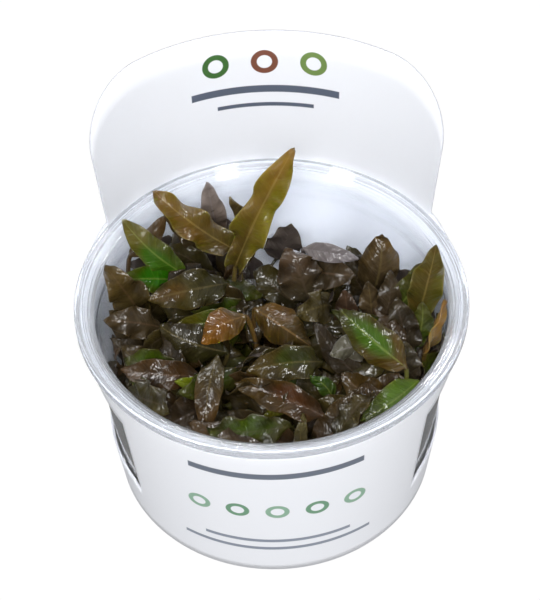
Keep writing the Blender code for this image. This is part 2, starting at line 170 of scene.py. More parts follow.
class NodeTree:
    """A material's node tree with one way to add a node and join it up."""

    def __init__(self, name: str) -> None:
        """Makes an empty material that ends in a Principled shader."""
        self.material = bpy.data.materials.new(name)
        self.material.use_nodes = True
        self.tree = self.material.node_tree
        self.shader = self.tree.nodes["Principled BSDF"]

    def add(self, kind: str, settings: dict | None = None, **inputs) -> Node:
        """Adds a node with its settings and links.

        Args:
            kind: the node's type name without its ShaderNode prefix.
            settings: the node's own properties by name.
            **inputs: an input's value, or the output that feeds it, by its name with _ for a space or
                by i and its number.

        Returns:
            The new node.
        """
        made = self.tree.nodes.new("ShaderNode" + kind)
        for key, value in (settings or {}).items():
            setattr(made, key, value)
        for key, value in inputs.items():
            socket = made.inputs[int(key[1:])] if key[1:].isdigit() else made.inputs[key.replace("_", " ")]
            self.feed(socket, value)
        return made

    def feed(self, socket: NodeSocket, value: object) -> None:
        """Links an output to an input, or sets the input's own value."""
        if isinstance(value, NodeSocket):
            self.tree.links.new(value, socket)
        else:
            socket.default_value = value

    def set_shader(self, **inputs) -> None:
        """Sets or links the Principled shader's inputs, by name with _ for a space."""
        for key, value in inputs.items():
            self.feed(self.shader.inputs[key.replace("_", " ")], value)

    def stored(self, name: str, output: str = "Fac") -> NodeSocket:
        """What the mesh holds at each of its vertices under a name."""
        return self.add("Attribute", {"attribute_name": name}).outputs[output]

    def noise(self, spacing: float, detail: float = 2.0, stretch: Point = (1, 1, 1)) -> NodeSocket:
        """Noise in the object's own space.

        Args:
            spacing: the rough size of its blotches, in mm.
            detail: how much finer noise is laid over it.
            stretch: how much the pattern is squeezed along X, Y and Z.

        Returns:
            Its value output, 0 to 1.
        """
        place = self.add("TexCoord").outputs["Object"]
        place = self.add("Mapping", Vector=place, Scale=stretch).outputs["Vector"]
        return self.add("TexNoise", Vector=place, Scale=1 / (spacing * MM), Detail=detail).outputs["Fac"]

    def ramp(self, value: NodeSocket, low: float, high: float) -> NodeSocket:
        """A value spread so that low becomes 0 and high becomes 1, easy at both ends."""
        kind = {"interpolation_type": "SMOOTHSTEP"}
        return self.add("MapRange", kind, Value=value, From_Min=low, From_Max=high).outputs["Result"]

    def mix(self, share: object, first: object, second: object, blend: str = "MIX") -> NodeSocket:
        """Two colours mixed by a share of the second."""
        node = self.add("Mix", {"data_type": "RGBA", "blend_type": blend}, i0=share, i6=first, i7=second)
        return node.outputs[2]

    def math(self, operation: str, first: object, second: object = 0.0) -> NodeSocket:
        """What a named operation makes of one or two values."""
        return self.add("Math", {"operation": operation}, i0=first, i1=second).outputs["Value"]

    def times(self, first: object, second: object) -> NodeSocket:
        """Two values multiplied."""
        return self.math("MULTIPLY", first, second)

    def minus(self, first: object, second: object) -> NodeSocket:
        """The first value less the second."""
        return self.math("SUBTRACT", first, second)

    def bump(self, height: NodeSocket, depth: float) -> NodeSocket:
        """A normal tilted by a height map whose full range is depth, in mm."""
        return self.add("Bump", Strength=1.0, Distance=depth * MM, Height=height).outputs["Normal"]


@dataclass(frozen=True)
class MouldedPolypropylene:
    """Injection moulded polypropylene: a clear wall under a thicker lip with a milky, grey-blue haze."""

    name: str = "polypropylene_moulded"
    tint: str = "#E3E6EB"
    wall_clearness: float = 0.95
    lip_clearness: float = 0.78
    haze_heights: Pair = (53.0, 59.0)
    roughness: float = 0.05
    ior: float = 1.49
    flow_spacing: float = 9.0
    flow_stretch: Point = (1, 1, 0.3)
    flow_depth: float = 0.03

    def material(self) -> Material:
        """The plastic: it is clear below and milkier towards the lip, and slow flow bends its highlights."""
        tree = NodeTree(self.name)
        flow = tree.noise(self.flow_spacing, 1.0, self.flow_stretch)
        tree.set_shader(Base_Color=linear(self.tint), Roughness=self.roughness, IOR=self.ior)
        place = tree.add("TexCoord").outputs["Object"]
        height = tree.math("DIVIDE", tree.add("SeparateXYZ", Vector=place).outputs["Z"], MM)
        haze = tree.times(tree.ramp(height, *self.haze_heights), self.wall_clearness - self.lip_clearness)
        clearness = tree.minus(self.wall_clearness, haze)
        tree.set_shader(Transmission_Weight=clearness, Normal=tree.bump(flow, self.flow_depth))
        return tree.material


class BoardSide(Enum):
    """Which face of the board a print is on."""

    OUTSIDE = "outside"
    INSIDE = "inside"
    EDGE = "edge"


@dataclass(frozen=True)
class Rule:
    """A plain printed bar: its middle and size along and up the board, in mm, and its ink."""

    middle: Pair
    size: Pair
    ink: str = "#596171"


@dataclass(frozen=True)
class Dot:
    """A plain printed ring, or a disc where it isn't hollow, in mm on the board."""

    middle: Pair
    radius: float
    ink: str
    hollow: float = 0.0


@dataclass(frozen=True)
class CoatedBoard:
    """White folding boxboard, clay coated and printed: smooth and bluish white, with a faint fibre grain."""

    name: str = "coated_boxboard_printed"
    white: str = "#EFF1F6"
    raw_edge: str = "#DADCE4"
    fibre_tone: str = "#C9CCD6"
    fibre_share: float = 0.05
    fibre_spacing: float = 0.5
    fibre_depth: float = 0.012
    coated_roughness: float = 0.42
    cut_roughness: float = 0.8
    ink_edge: float = 0.12

    def inked(self, tree: NodeTree, arc: object, up: object, mark: Rule | Dot, under: object) -> object:
        """Lays one mark's ink over a colour.

        Args:
            tree: the material's tree.
            arc: millimetres along the board.
            up: millimetres up the board.
            mark: the bar, ring or disc.
            under: the colour below it.

        Returns:
            The colour with the mark.
        """
        ways = [tree.minus(place, middle) for place, middle in zip((arc, up), mark.middle)]
        if isinstance(mark, Rule):
            past = [tree.minus(tree.math("ABSOLUTE", way), size / 2) for way, size in zip(ways, mark.size)]
            outside = tree.math("MAXIMUM", *past)
        else:
            away = tree.math("SQRT", tree.math("ADD", *(tree.times(way, way) for way in ways)))
            outside = tree.minus(away, mark.radius)
            if mark.hollow:
                outside = tree.math("MAXIMUM", outside, tree.minus(mark.hollow, away))
        share = tree.ramp(outside, self.ink_edge, -self.ink_edge)
        return tree.mix(share, under, linear(mark.ink))

    def material(self, side: BoardSide, marks: Sequence[Rule | Dot] = ()) -> Material:
        """One face of the board.

        Args:
            side: which face it is; the cut edge is greyer and rougher.
            marks: the plain print on it.

        Returns:
            The material.
        """
        tree = NodeTree(f"{self.name}_{side.value}")
        fibre = tree.noise(self.fibre_spacing, 3.0)
        plain, rough = self.white, self.coated_roughness
        if side is BoardSide.EDGE:
            plain, rough = self.raw_edge, self.cut_roughness
        shade = tree.mix(tree.times(fibre, self.fibre_share), linear(plain), linear(self.fibre_tone))
        arc, up = tree.stored("arc"), tree.stored("up")
        for mark in marks:
            shade = self.inked(tree, arc, up, mark, shade)
        tree.set_shader(Base_Color=shade, Roughness=rough, Normal=tree.bump(fibre, self.fibre_depth))
        return tree.material


@dataclass(frozen=True)
class AgarGel:
    """Set agar growing gel: cloudy and wet on top, its pale straw tone darkened as painted shade for the
    shade low in the cup.
    """

    name: str = "agar_gel_set"
    # Pale straw darkened to a dull olive: painted shade, for the shade deep in the cup
    shade_darkened_tone: str = "#6E6648"
    cloud_tone: str = "#3E3824"
    cloud_spacing: float = 6.0
    cloud_depth: float = 0.4
    roughness: float = 0.12
    ior: float = 1.34
    scatter: Point = (0.004, 0.003, 0.0015)

    def material(self) -> Material:
        """The gel: light sinks in and spreads, and the wet top gives sharp highlights."""
        tree = NodeTree(self.name)
        cloud = tree.noise(self.cloud_spacing, 3.0)
        # The body colour carries the painted shade; the darker clouds are mottling in the gel
        shade = tree.mix(tree.ramp(cloud, 0.35, 0.7), linear(self.shade_darkened_tone), linear(self.cloud_tone))
        tree.set_shader(Base_Color=shade, Roughness=self.roughness, IOR=self.ior, Subsurface_Weight=0.5)
        tree.set_shader(Subsurface_Radius=self.scatter, Subsurface_Scale=1.0)
        tree.set_shader(Normal=tree.bump(cloud, self.cloud_depth))
        return tree.material


@dataclass(frozen=True)
class WetLeaf:
    """A leaf blade wet from the cup: dark, mottled tissue with a waxy skin under a broken water film.

    Shares are parts of the full effect. Spacings, depths, wrinkle and bead are in mm.
    """

    name: str
    mottle: float = 0.6
    mottle_ink: str = "#1C150B"
    rib: str = "#6E6038"
    underside: str = "#6A605E"
    # Paler colour at the margin: painted light, as if light shone through the thin edge
    margin: str = "#66522C"
    glow: float = 0.0
    skin: float = 0.5
    wrinkle: float = 0.34
    bead: float = 0.45
    depth: float = 0.69
    greenness: float = 0.94
    warmth: float = 0.6
    broad_spacing: float = 6.0
    fine_spacing: float = 1.3
    dry_spacing: float = 3.5
    vein_slant: float = 2.6
    vein_turn: float = 1.25
    vein_share: float = 0.1
    rib_share: float = 0.25
    under_share: float = 0.55
    # How strongly the margin takes the painted edge light
    lit_margin_share: float = 0.16
    scatter: Point = (0.0012, 0.0016, 0.0003)

    def colour(self, tree: NodeTree) -> NodeSocket:
        """Tissue colour: the leaf's tone with dark mottling, veins, a pale underside, and a paler margin band
        that is painted light shining through the thin edge.
        """
        cast = (self.depth, self.greenness * self.depth, self.warmth * self.depth, 1.0)
        shade = tree.mix(1.0, tree.stored("tone", "Color"), cast, "MULTIPLY")
        broad = tree.times(tree.ramp(tree.noise(self.broad_spacing, 3.0), 0.42, 0.66), self.mottle)
        fine = tree.times(tree.ramp(tree.noise(self.fine_spacing, 3.0), 0.45, 0.7), 0.6 * self.mottle)
        shade = tree.mix(tree.math("MAXIMUM", broad, fine), shade, linear(self.mottle_ink))
        outward = tree.math("ABSOLUTE", tree.stored("side"))
        slant = tree.minus(tree.stored("along"), tree.times(outward, self.vein_slant))
        line = tree.math("ABSOLUTE", tree.math("SINE", tree.times(slant, self.vein_turn)))
        veins = tree.times(tree.ramp(line, 0.14, 0.02), self.vein_share)
        midrib = tree.times(tree.ramp(outward, 0.09, 0.02), self.rib_share)
        shade = tree.mix(tree.math("MAXIMUM", midrib, veins), shade, linear(self.rib))
        shade = tree.mix(tree.times(tree.stored("under"), self.under_share), shade, linear(self.underside))
        # Painted light: a paler band along the margin, as if light shone through the thin edge
        rim = tree.times(tree.ramp(outward, 0.86, 1.0), self.lit_margin_share)
        return tree.mix(rim, shade, linear(self.margin))

    def relief(self, tree: NodeTree) -> NodeSocket:
        """Skin relief: wrinkles that fan out from the midrib."""
        wide = tree.stored("wide")
        fan = tree.minus(tree.stored("along"), tree.times(tree.math("ABSOLUTE", wide), 0.8))
        place = self.own_place(tree, fan, tree.times(wide, 0.3))
        wrinkle = tree.add("TexNoise", Vector=place, Scale=1.1, Detail=3.0).outputs["Fac"]
        return tree.bump(wrinkle, self.wrinkle)

    def own_place(self, tree: NodeTree, along: NodeSocket, wide: NodeSocket) -> NodeSocket:
        """A place on a flat leaf, in mm, and at a height that no other leaf has."""
        return tree.add("CombineXYZ", X=along, Y=wide, Z=tree.stored("seed")).outputs["Vector"]

    def film(self, tree: NodeTree, skin: NodeSocket) -> NodeSocket:
        """The water film's relief: it lies over the skin and beads up in short streaks along the leaf."""
        place = self.own_place(tree, tree.times(tree.stored("along"), 0.55), tree.stored("wide"))
        beads = tree.add("TexNoise", Vector=place, Scale=0.5, Detail=1.0).outputs["Fac"]
        made = tree.add("Bump", Strength=1.0, Distance=self.bead * MM, Height=beads, Normal=skin)
        return made.outputs["Normal"]

    def material(self) -> Material:
        """The leaf: dull waxy skin, with a thin clear film that mirrors small lamps as specks."""
        tree = NodeTree("leaf_tissue_wet_" + self.name)
        wetted = tree.ramp(tree.noise(self.dry_spacing, 2.0), 0.36, 0.5)
        skin = self.relief(tree)
        tree.set_shader(Base_Color=self.colour(tree), Normal=skin, Roughness=self.skin)
        tree.set_shader(Coat_Weight=wetted, Coat_Roughness=0.03, Coat_IOR=1.42)
        tree.set_shader(Specular_IOR_Level=0.1, Coat_Normal=self.film(tree, skin))
        if self.glow:
            tree.set_shader(Subsurface_Weight=self.glow, Subsurface_Scale=1.0, Subsurface_Radius=self.scatter)
        return tree.material


# The last colour given to golden, amber and grey is the paler margin band, painted light through the thin
# edge
LEAF_FINISHES = {
    "olive": WetLeaf("olive"),
    "brown": WetLeaf("brown", rib="#6A503A"),
    "dark": WetLeaf("dark", mottle_ink="#17110A", rib="#54463A"),
    "green": WetLeaf("green", 0.3, "#33400E", "#8C9648", "#6E7A50", glow=0.15),
    "golden": WetLeaf("golden", 0.35, "#5A3E14", "#A08A4C", "#8A7A4C", "#B0A060", 0.25),
    "amber": WetLeaf("amber", 0.45, "#3E2A10", "#9A7440", "#8A6230", "#A8844A", 0.2),
    "grey": WetLeaf(
        "grey", 0.25, "#4A4340", "#8A8488", "#8A868A", "#B4B0B0", skin=0.35, depth=0.8, warmth=0.95
    ),
}


@dataclass(frozen=True)
class Leaf:
    """One leaf: where its blade starts and ends, in mm, and the blade's width, arch and turn."""

    name: str
    crown: str
    heel: Point
    tip: Point
    width: float
    arch: float = 1.5
    finish: str = "olive"
    turn: float = 0.0


LEAVES = (
    Leaf("tall_golden", "back_left", (-9, 17, 54), (7, 27, 86), 9.0, 2.0, "golden"),
    Leaf("left_golden", "back_left", (-9, 21, 55), (-30, 27, 72), 8.5, 2.0, "golden"),
    Leaf("grey_upright", "back_left", (-14, 33, 50), (-16, 32, 70), 7.0, 1.0, "grey"),
    Leaf("slender_back", "back_left", (-7, 29, 53), (-10, 26, 70), 4.0, 0.5, "brown"),
    Leaf("back_dark", "back_left", (-18, 25, 50), (-28, 30, 61), 6.0, 1.0, "brown"),
    Leaf("olive_broad", "back_left", (-12, 11, 53), (-32, 5, 54), 10.0, 3.0),
    Leaf("bright_green", "left", (-23, 15, 53), (-38, 20, 69), 7.5, 1.5, "green"),
    Leaf("back_brown", "left", (-37, 20, 55), (-27, 28, 62), 5.5, 1.0, "brown"),
    Leaf("green_patch", "left", (-24, 17, 48), (-40, 8, 59), 8.0, 1.5, "green"),
    Leaf("left_speckled", "left", (-34, 8, 44), (-42, 7, 66), 10.0, 2.0, "brown"),
    Leaf("left_low", "left", (-32, 4, 40), (-42, 2, 54), 8.0, 1.5),
    Leaf("left_wide", "left", (-29, 1, 48), (-43, -3, 56), 8.5, 2.0, "brown"),
    Leaf("dark_left", "front_left", (-28, -8, 41), (-39, -6, 49), 9.0, 1.5),
    Leaf("dark_dome", "front_left", (-12, -8, 48), (-29, -1, 51), 10.0, 3.0),
    Leaf("brown_band", "front_left", (-19, -14, 46), (-39, -12, 47), 8.0, 2.0, "brown"),
    Leaf("yellow_spot", "front_left", (-15, -16, 45), (-25, -18, 49), 4.5, 1.0, "green"),
    Leaf("olive_low", "front_left", (-24, -17, 42), (-38, -15, 42), 7.0, 2.0),
    Leaf("hanging", "front_left", (-14, -14, 53), (-17, -33, 45), 7.0, 3.0),
    Leaf("front_left_dark", "front_left", (-17, -20, 41), (-29, -28, 42), 10.0, 2.0, "dark"),
    Leaf("green_slip", "centre", (-9, 4, 48), (-25, 0, 50), 6.5, 2.0, "green"),
    Leaf("amber", "centre", (-7, -4, 57), (-18, -10, 54), 8.5, 2.0, "amber"),
    Leaf("amber_right", "centre", (-4, 1, 54), (10, -8, 49), 10.0, 2.5, "amber"),
    Leaf("olive_centre_b", "centre", (15, 5, 50), (6, -4, 57), 9.0, 2.5),
    Leaf("dark_broad", "centre", (10, 6, 50), (4, 14, 63), 12.0, 1.5, "dark"),
    Leaf("olive_centre", "centre", (12, -13, 49), (-7, -17, 51), 9.0, 2.5),
    Leaf("brown_centre", "front", (12, -27, 45), (-10, -19, 49), 8.0, 3.0, "brown"),
    Leaf("yellow_green", "front", (5, -21, 44), (-3, -25, 43), 4.5, 1.0, "green"),
    Leaf("brown_front", "front", (5, -32, 39), (-12, -24, 44), 9.0, 2.5, "brown"),
    Leaf("small_front", "front", (7, -34, 38), (7, -29, 49), 3.5, 0.5),
    Leaf("front_right", "front", (10, -33, 39), (20, -22, 48), 9.5, 2.0, "brown"),
    Leaf("small_green", "front", (15, -21, 43), (9, -18, 50), 4.5, 0.8, "green"),
    Leaf("front_right_low", "front", (13, -34, 35), (25, -31, 40), 8.0, 1.5, "brown"),
    Leaf("green_lance", "front_right", (33, -17, 51), (17, -6, 61), 10.0, 2.0, "green"),
    Leaf("grey_green", "front_right", (28, -8, 49), (14, -14, 53), 8.0, 1.5, "grey"),
    Leaf("bottom_green", "front_right", (36, -18, 46), (21, -30, 46), 8.0, 2.0, "green"),
    Leaf("dark_right", "front_right", (36, -13, 42), (33, -12, 55), 7.0, 1.0, "dark"),
    Leaf("brown_right_low", "front_right", (30, -22, 42), (17, -16, 48), 9.0, 2.0, "brown"),
    Leaf("right_amber", "right", (39, -9, 46), (43, -9, 67), 6.0, 1.0, "amber", 60),
    Leaf("right_olive", "right", (38, 3, 47), (42, 7, 70), 9.0, 1.5, "golden"),
    Leaf("dark_green", "right", (32, 5, 48), (39, 10, 60), 8.0, 1.5, "green"),
    Leaf("dark_right_b", "right", (36, -6, 44), (32, 2, 56), 8.5, 1.0, "dark"),
    Leaf("green_right", "right", (37, -3, 42), (39, 2, 54), 7.0, 1.0, "green"),
    Leaf("small_dark", "back_right", (28, 1, 45), (31, 8, 60), 6.5, 0.8, "dark"),
    Leaf("domed", "back_right", (26, 11, 46), (29, 15, 66), 11.0, 2.0),
    Leaf("dark_broad_right", "back_right", (11, 15, 53), (22, 9, 57), 9.0, 2.0, "brown"),
    Leaf("grey_curl", "back_right", (9, 17, 59), (23, 11, 61), 5.0, 1.5, "grey"),
    Leaf("red_brown", "back_right", (19, 3, 44), (19, 7, 54), 6.5, 0.8, "brown"),
    Leaf("olive_small", "back_right", (26, 3, 46), (25, 7, 57), 6.0, 0.8),
)


@dataclass(frozen=True)
class Look:
    """How one leaf is toned and bent.

    The tones are the blade's colour at its heel and tip and a patch on it. The patch's middle and reach
    are shares along the blade and across it, from -1 to 1. Fold and dome are how steeply its halves rise
    from the midrib and how far its sides droop. Curl turns its tip up, and twist is its turn in degrees
    from heel to tip. Wave is how much its margin ruffles, and taper how fast it narrows to heel and tip.
    """

    heel: str
    tip: str
    patch: str = "#3A3018"
    patch_at: Pair = (0.5, 0.0)
    patch_reach: Pair = (0.01, 0.01)
    fold: float = 0.0
    dome: float = 0.0
    curl: float = 0.0
    twist: float = 0.0
    wave: float = 1.0
    taper: Pair = (0.6, 0.85)


LOOKS = {
    "tall_golden": Look(
        "#4E4420", "#94743A", "#7A7024", (0.5, 0.7), (0.5, 0.9), wave=2.6, taper=(0.4, 0.6), fold=0.2
    ),
    "left_golden": Look(
        "#4A4022", "#7A6030", "#6A5020", (0.6, -0.6), (0.4, 0.8), wave=1.9, twist=-14, taper=(0.4, 0.6)
    ),
    "grey_upright": Look("#6C5E4E", "#8F8780", wave=0.5),
    "slender_back": Look("#5E5238", "#76684E", wave=0.4),
    "back_dark": Look("#40372A", "#54432C"),
    "olive_broad": Look("#34341A", "#4A401E", "#57421E", (0.75, 0.1), (0.3, 0.8)),
    "bright_green": Look(
        "#3A500E", "#6A602E", "#3A6A14", (0.35, -0.3), (0.35, 0.9), wave=0.9, taper=(0.5, 0.7)
    ),
    "back_brown": Look("#5A4628", "#54402A"),
    "green_patch": Look("#37520A", "#46520E", "#2C6E06", (0.45, 0.2), (0.35, 1.0), wave=0.6),
    "left_speckled": Look("#3E3620", "#5C4C2E", wave=1.3),
    "left_low": Look("#3A3018", "#443820"),
    "left_wide": Look("#3F3529", "#4A3C2A"),
    "dark_left": Look("#342A16", "#3E3220", dome=0.3),
    "dark_dome": Look("#2E2E14", "#3A3420", dome=0.6, wave=0.6),
    "brown_band": Look("#412D1B", "#4C3824"),
    "yellow_spot": Look("#4E5A0C", "#6E7C12", wave=0.4),
    "olive_low": Look("#3B3520", "#4A3824"),
    "hanging": Look("#40381A", "#523A20", dome=0.2, wave=0.5),
    "front_left_dark": Look("#2C221A", "#3C3026"),
    "green_slip": Look("#37560E", "#54480F", "#3E620E", (0.1, 0.0), (0.4, 1.2), wave=0.5),
    "amber": Look("#5A4620", "#7A5010", "#70480C", (0.55, 0.2), (0.4, 1.0), wave=0.5, fold=-0.3),
    "amber_right": Look("#524020", "#3A3018", "#5E4210", (0.3, -0.6), (0.35, 0.7), dome=0.3, wave=0.8),
    "olive_centre_b": Look("#433D2A", "#4A4228"),
    "dark_broad": Look("#3D372E", "#54423A", dome=0.4),
    "olive_centre": Look("#3C3C1C", "#4E401C", "#3E4A16", (0.4, 0.3), (0.3, 0.7)),
    "brown_centre": Look("#402C1C", "#544220", "#4C2E1A", (0.4, 0.3), (0.3, 0.7)),
    "yellow_green": Look("#4A4C18", "#6A6A1C", wave=0.4),
    "brown_front": Look("#3C2C22", "#443A2A"),
    "small_front": Look("#4A4430", "#565038"),
    "front_right": Look("#3A2C22", "#4A3C28"),
    "small_green": Look("#2E3F10", "#2C4A12", wave=0.5),
    "front_right_low": Look("#352A1E", "#3C3024"),
    "green_lance": Look(
        "#54401C", "#3A3A18", "#42660F", (0.52, 0.05), (0.42, 0.8), wave=0.9, fold=-0.35, taper=(0.5, 0.75)
    ),
    "grey_green": Look("#504C3E", "#5A5A48", dome=0.5),
    "bottom_green": Look("#5A6E24", "#343E0F", "#4A6A14", (0.35, 0.1), (0.4, 1.0), wave=0.7, fold=-0.2),
    "dark_right": Look("#362E28", "#4A443C"),
    "brown_right_low": Look("#46341C", "#4A3A20"),
    "right_amber": Look("#5C4B2C", "#A0763A", "#98804E", (0.6, -0.5), (0.4, 0.8), wave=0.5),
    "right_olive": Look("#44421F", "#5A4F2C", "#54501E", (0.4, 0.6), (0.4, 0.6), wave=0.7),
    "dark_green": Look("#3C4E1A", "#4D432F"),
    "dark_right_b": Look("#362F28", "#40382E"),
    "green_right": Look("#3E521A", "#50502C"),
    "small_dark": Look("#382E28", "#443A32"),
    "domed": Look("#3D352C", "#6A5434", "#57493C", (0.6, 0.0), (0.3, 0.8), dome=0.9, curl=-0.5, wave=0.5),
    "dark_broad_right": Look("#3A332A", "#463A32"),
    "grey_curl": Look("#7A7674", "#6C696A", wave=0.6),
    "red_brown": Look("#4D3532", "#54403A"),
    "olive_small": Look("#504237", "#5A4C3E"),
}
STALK_TONE = "#3E3618"

# What each vertex of a leaf holds: mm along the blade, the share of the way to its margin, mm across the
# blade, 1 where it is on the underside, and a number that only this leaf has
LEAF_LAYERS = ("along", "side", "wide", "under", "seed")

# The cup's open back, where no small leaf grows, as boxes' opposite corners in mm
OPEN_SPACES = (((-4, 27, 15), (12, 37, 62)), ((-2, 20, 40), (20, 33, 62)))

# The small leaves' looks, of which each takes one by chance
FILL_LOOKS = (
    Look("#322A18", "#3E3420"),
    Look("#33301A", "#403A20"),
    Look("#2C241A", "#382E22"),
    Look("#3A2C1E", "#46341F"),
    Look("#34301C", "#4A4024"),
    Look("#3A3A18", "#444A1A", "#40560F", (0.5, 0.3), (0.4, 0.8)),
)

# Where each plant's stem stands, in mm from the cup's middle
CROWNS = {
    "back_left": (-12, 22),
    "left": (-34, 8),
    "front_left": (-22, -14),
    "centre": (0, -1),
    "front": (6, -27),
    "front_right": (30, -14),
    "right": (37, 2),
    "back_right": (18, 13),
}


@dataclass(frozen=True)
class CultureCup:
    """The clear cup: a tapered wall, a soft step to its mouth, and a flared, ridged lip with a beaded rim.

    Lengths are in mm. Ledge step is how much wider the mouth is than the top of the wall: below zero,
    because it is narrower. Each of the step's rises is a share of it and a height above the ledge.
    """

    rim_radius: float = 50.0
    height: float = 61.0
    wall: float = 0.8
    base_radius: float = 41.8
    ledge_height: float = 50.0
    ledge_step: float = -0.55
    step_rises: tuple[Pair, ...] = ((0.7, 0.8), (0.3, 2.2), (0.0, 3.6))
    mouth_radius: float = 45.0
    lip_drop: float = 2.3
    bead_radius: float = 0.6
    ridges: int = 4
    ridge_rise: float = 0.2
    edge: float = 0.15
    steps: int = 192

    def inside_radius(self, height: float) -> float:
        """The inner radius at a height below the ledge, in mm."""
        low, high = self.base_radius - 0.1, self.mouth_radius - self.ledge_step
        return low + (high - low) * (height - 2.0) / (self.ledge_height - 2.0)

    def lip_top(self) -> list[Pair]:
        """The lip's upper side, from the mouth out to the bead, with its concentric ridges."""
        start = (self.mouth_radius + 0.1, self.height - 2.5)
        end = (self.rim_radius - 1.5, self.height - 0.62)
        count = self.ridges * 8
        points = []
        for i in range(count + 1):
            share = i / count
            radius = start[0] + (end[0] - start[0]) * share
            height = start[1] + (end[1] - start[1]) * share ** 0.8
            wave = 0.5 - 0.5 * math.cos(math.tau * self.ridges * share)
            points.append((radius, height + self.ridge_rise * wave * smooth_step(share, 0.0, 0.3)))
        return points

    def bead(self) -> list[Pair]:
        """The round bead at the rim's outer edge."""
        size = self.bead_radius
        turns = [math.radians(a) for a in range(160, -1, -20)]
        return [
            (self.rim_radius - size + size * math.cos(a), self.height - size + size * math.sin(a))
            for a in turns
        ]

    def profile(self) -> list[Pair]:
        """(radius, height) from the middle of the floor up inside, over the lip, and down outside."""
        top, rim, skirt = self.height, self.rim_radius, self.rim_radius - self.wall
        ledge, base, mouth = self.ledge_height, self.base_radius, self.mouth_radius
        under, edge = top - self.lip_drop, self.edge
        step = [(mouth - share * self.ledge_step, ledge + rise) for share, rise in self.step_rises]
        wall = [(self.inside_radius(h), h) for h in (2.0, 8.0, 20.0, 34.0, ledge - 0.6)]
        inside = [(0.0, 0.9), (base - 2.4, 0.9), (base - 1.2, 1.0), (base - 0.5, 1.35), *wall, *step]
        inside += [(mouth + 0.05, top - 4.0)]
        outside = [(rim, under + edge), (rim - edge, under), (skirt + edge, under), (skirt, under + edge)]
        outside += [(skirt, top - 1.35), (mouth + 1.3, top - 2.85), (mouth + self.wall + 0.1, top - 4.2)]
        outside += [(radius + self.wall, h) for radius, h in reversed(step)]
        outside += [(mouth + self.wall - self.ledge_step, ledge - 0.6)]
        outside += [(radius + self.wall, h) for radius, h in reversed(wall[:-1])]
        outside += [(base + 0.25, 0.9), (base - 0.1, 0.25), (base - 0.7, 0.0), (0.0, 0.0)]
        return inside + self.lip_top() + self.bead() + outside

    def build(self) -> Object:
        """Turns the cup and dresses it, in place of its plain solid."""
        mesh = turned_mesh("cup_fine", self.profile(), self.steps)
        made = add_piece("cup_fine", mesh, [MouldedPolypropylene().material()])
        made.visible_shadow = False
        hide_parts("cup")
        return made


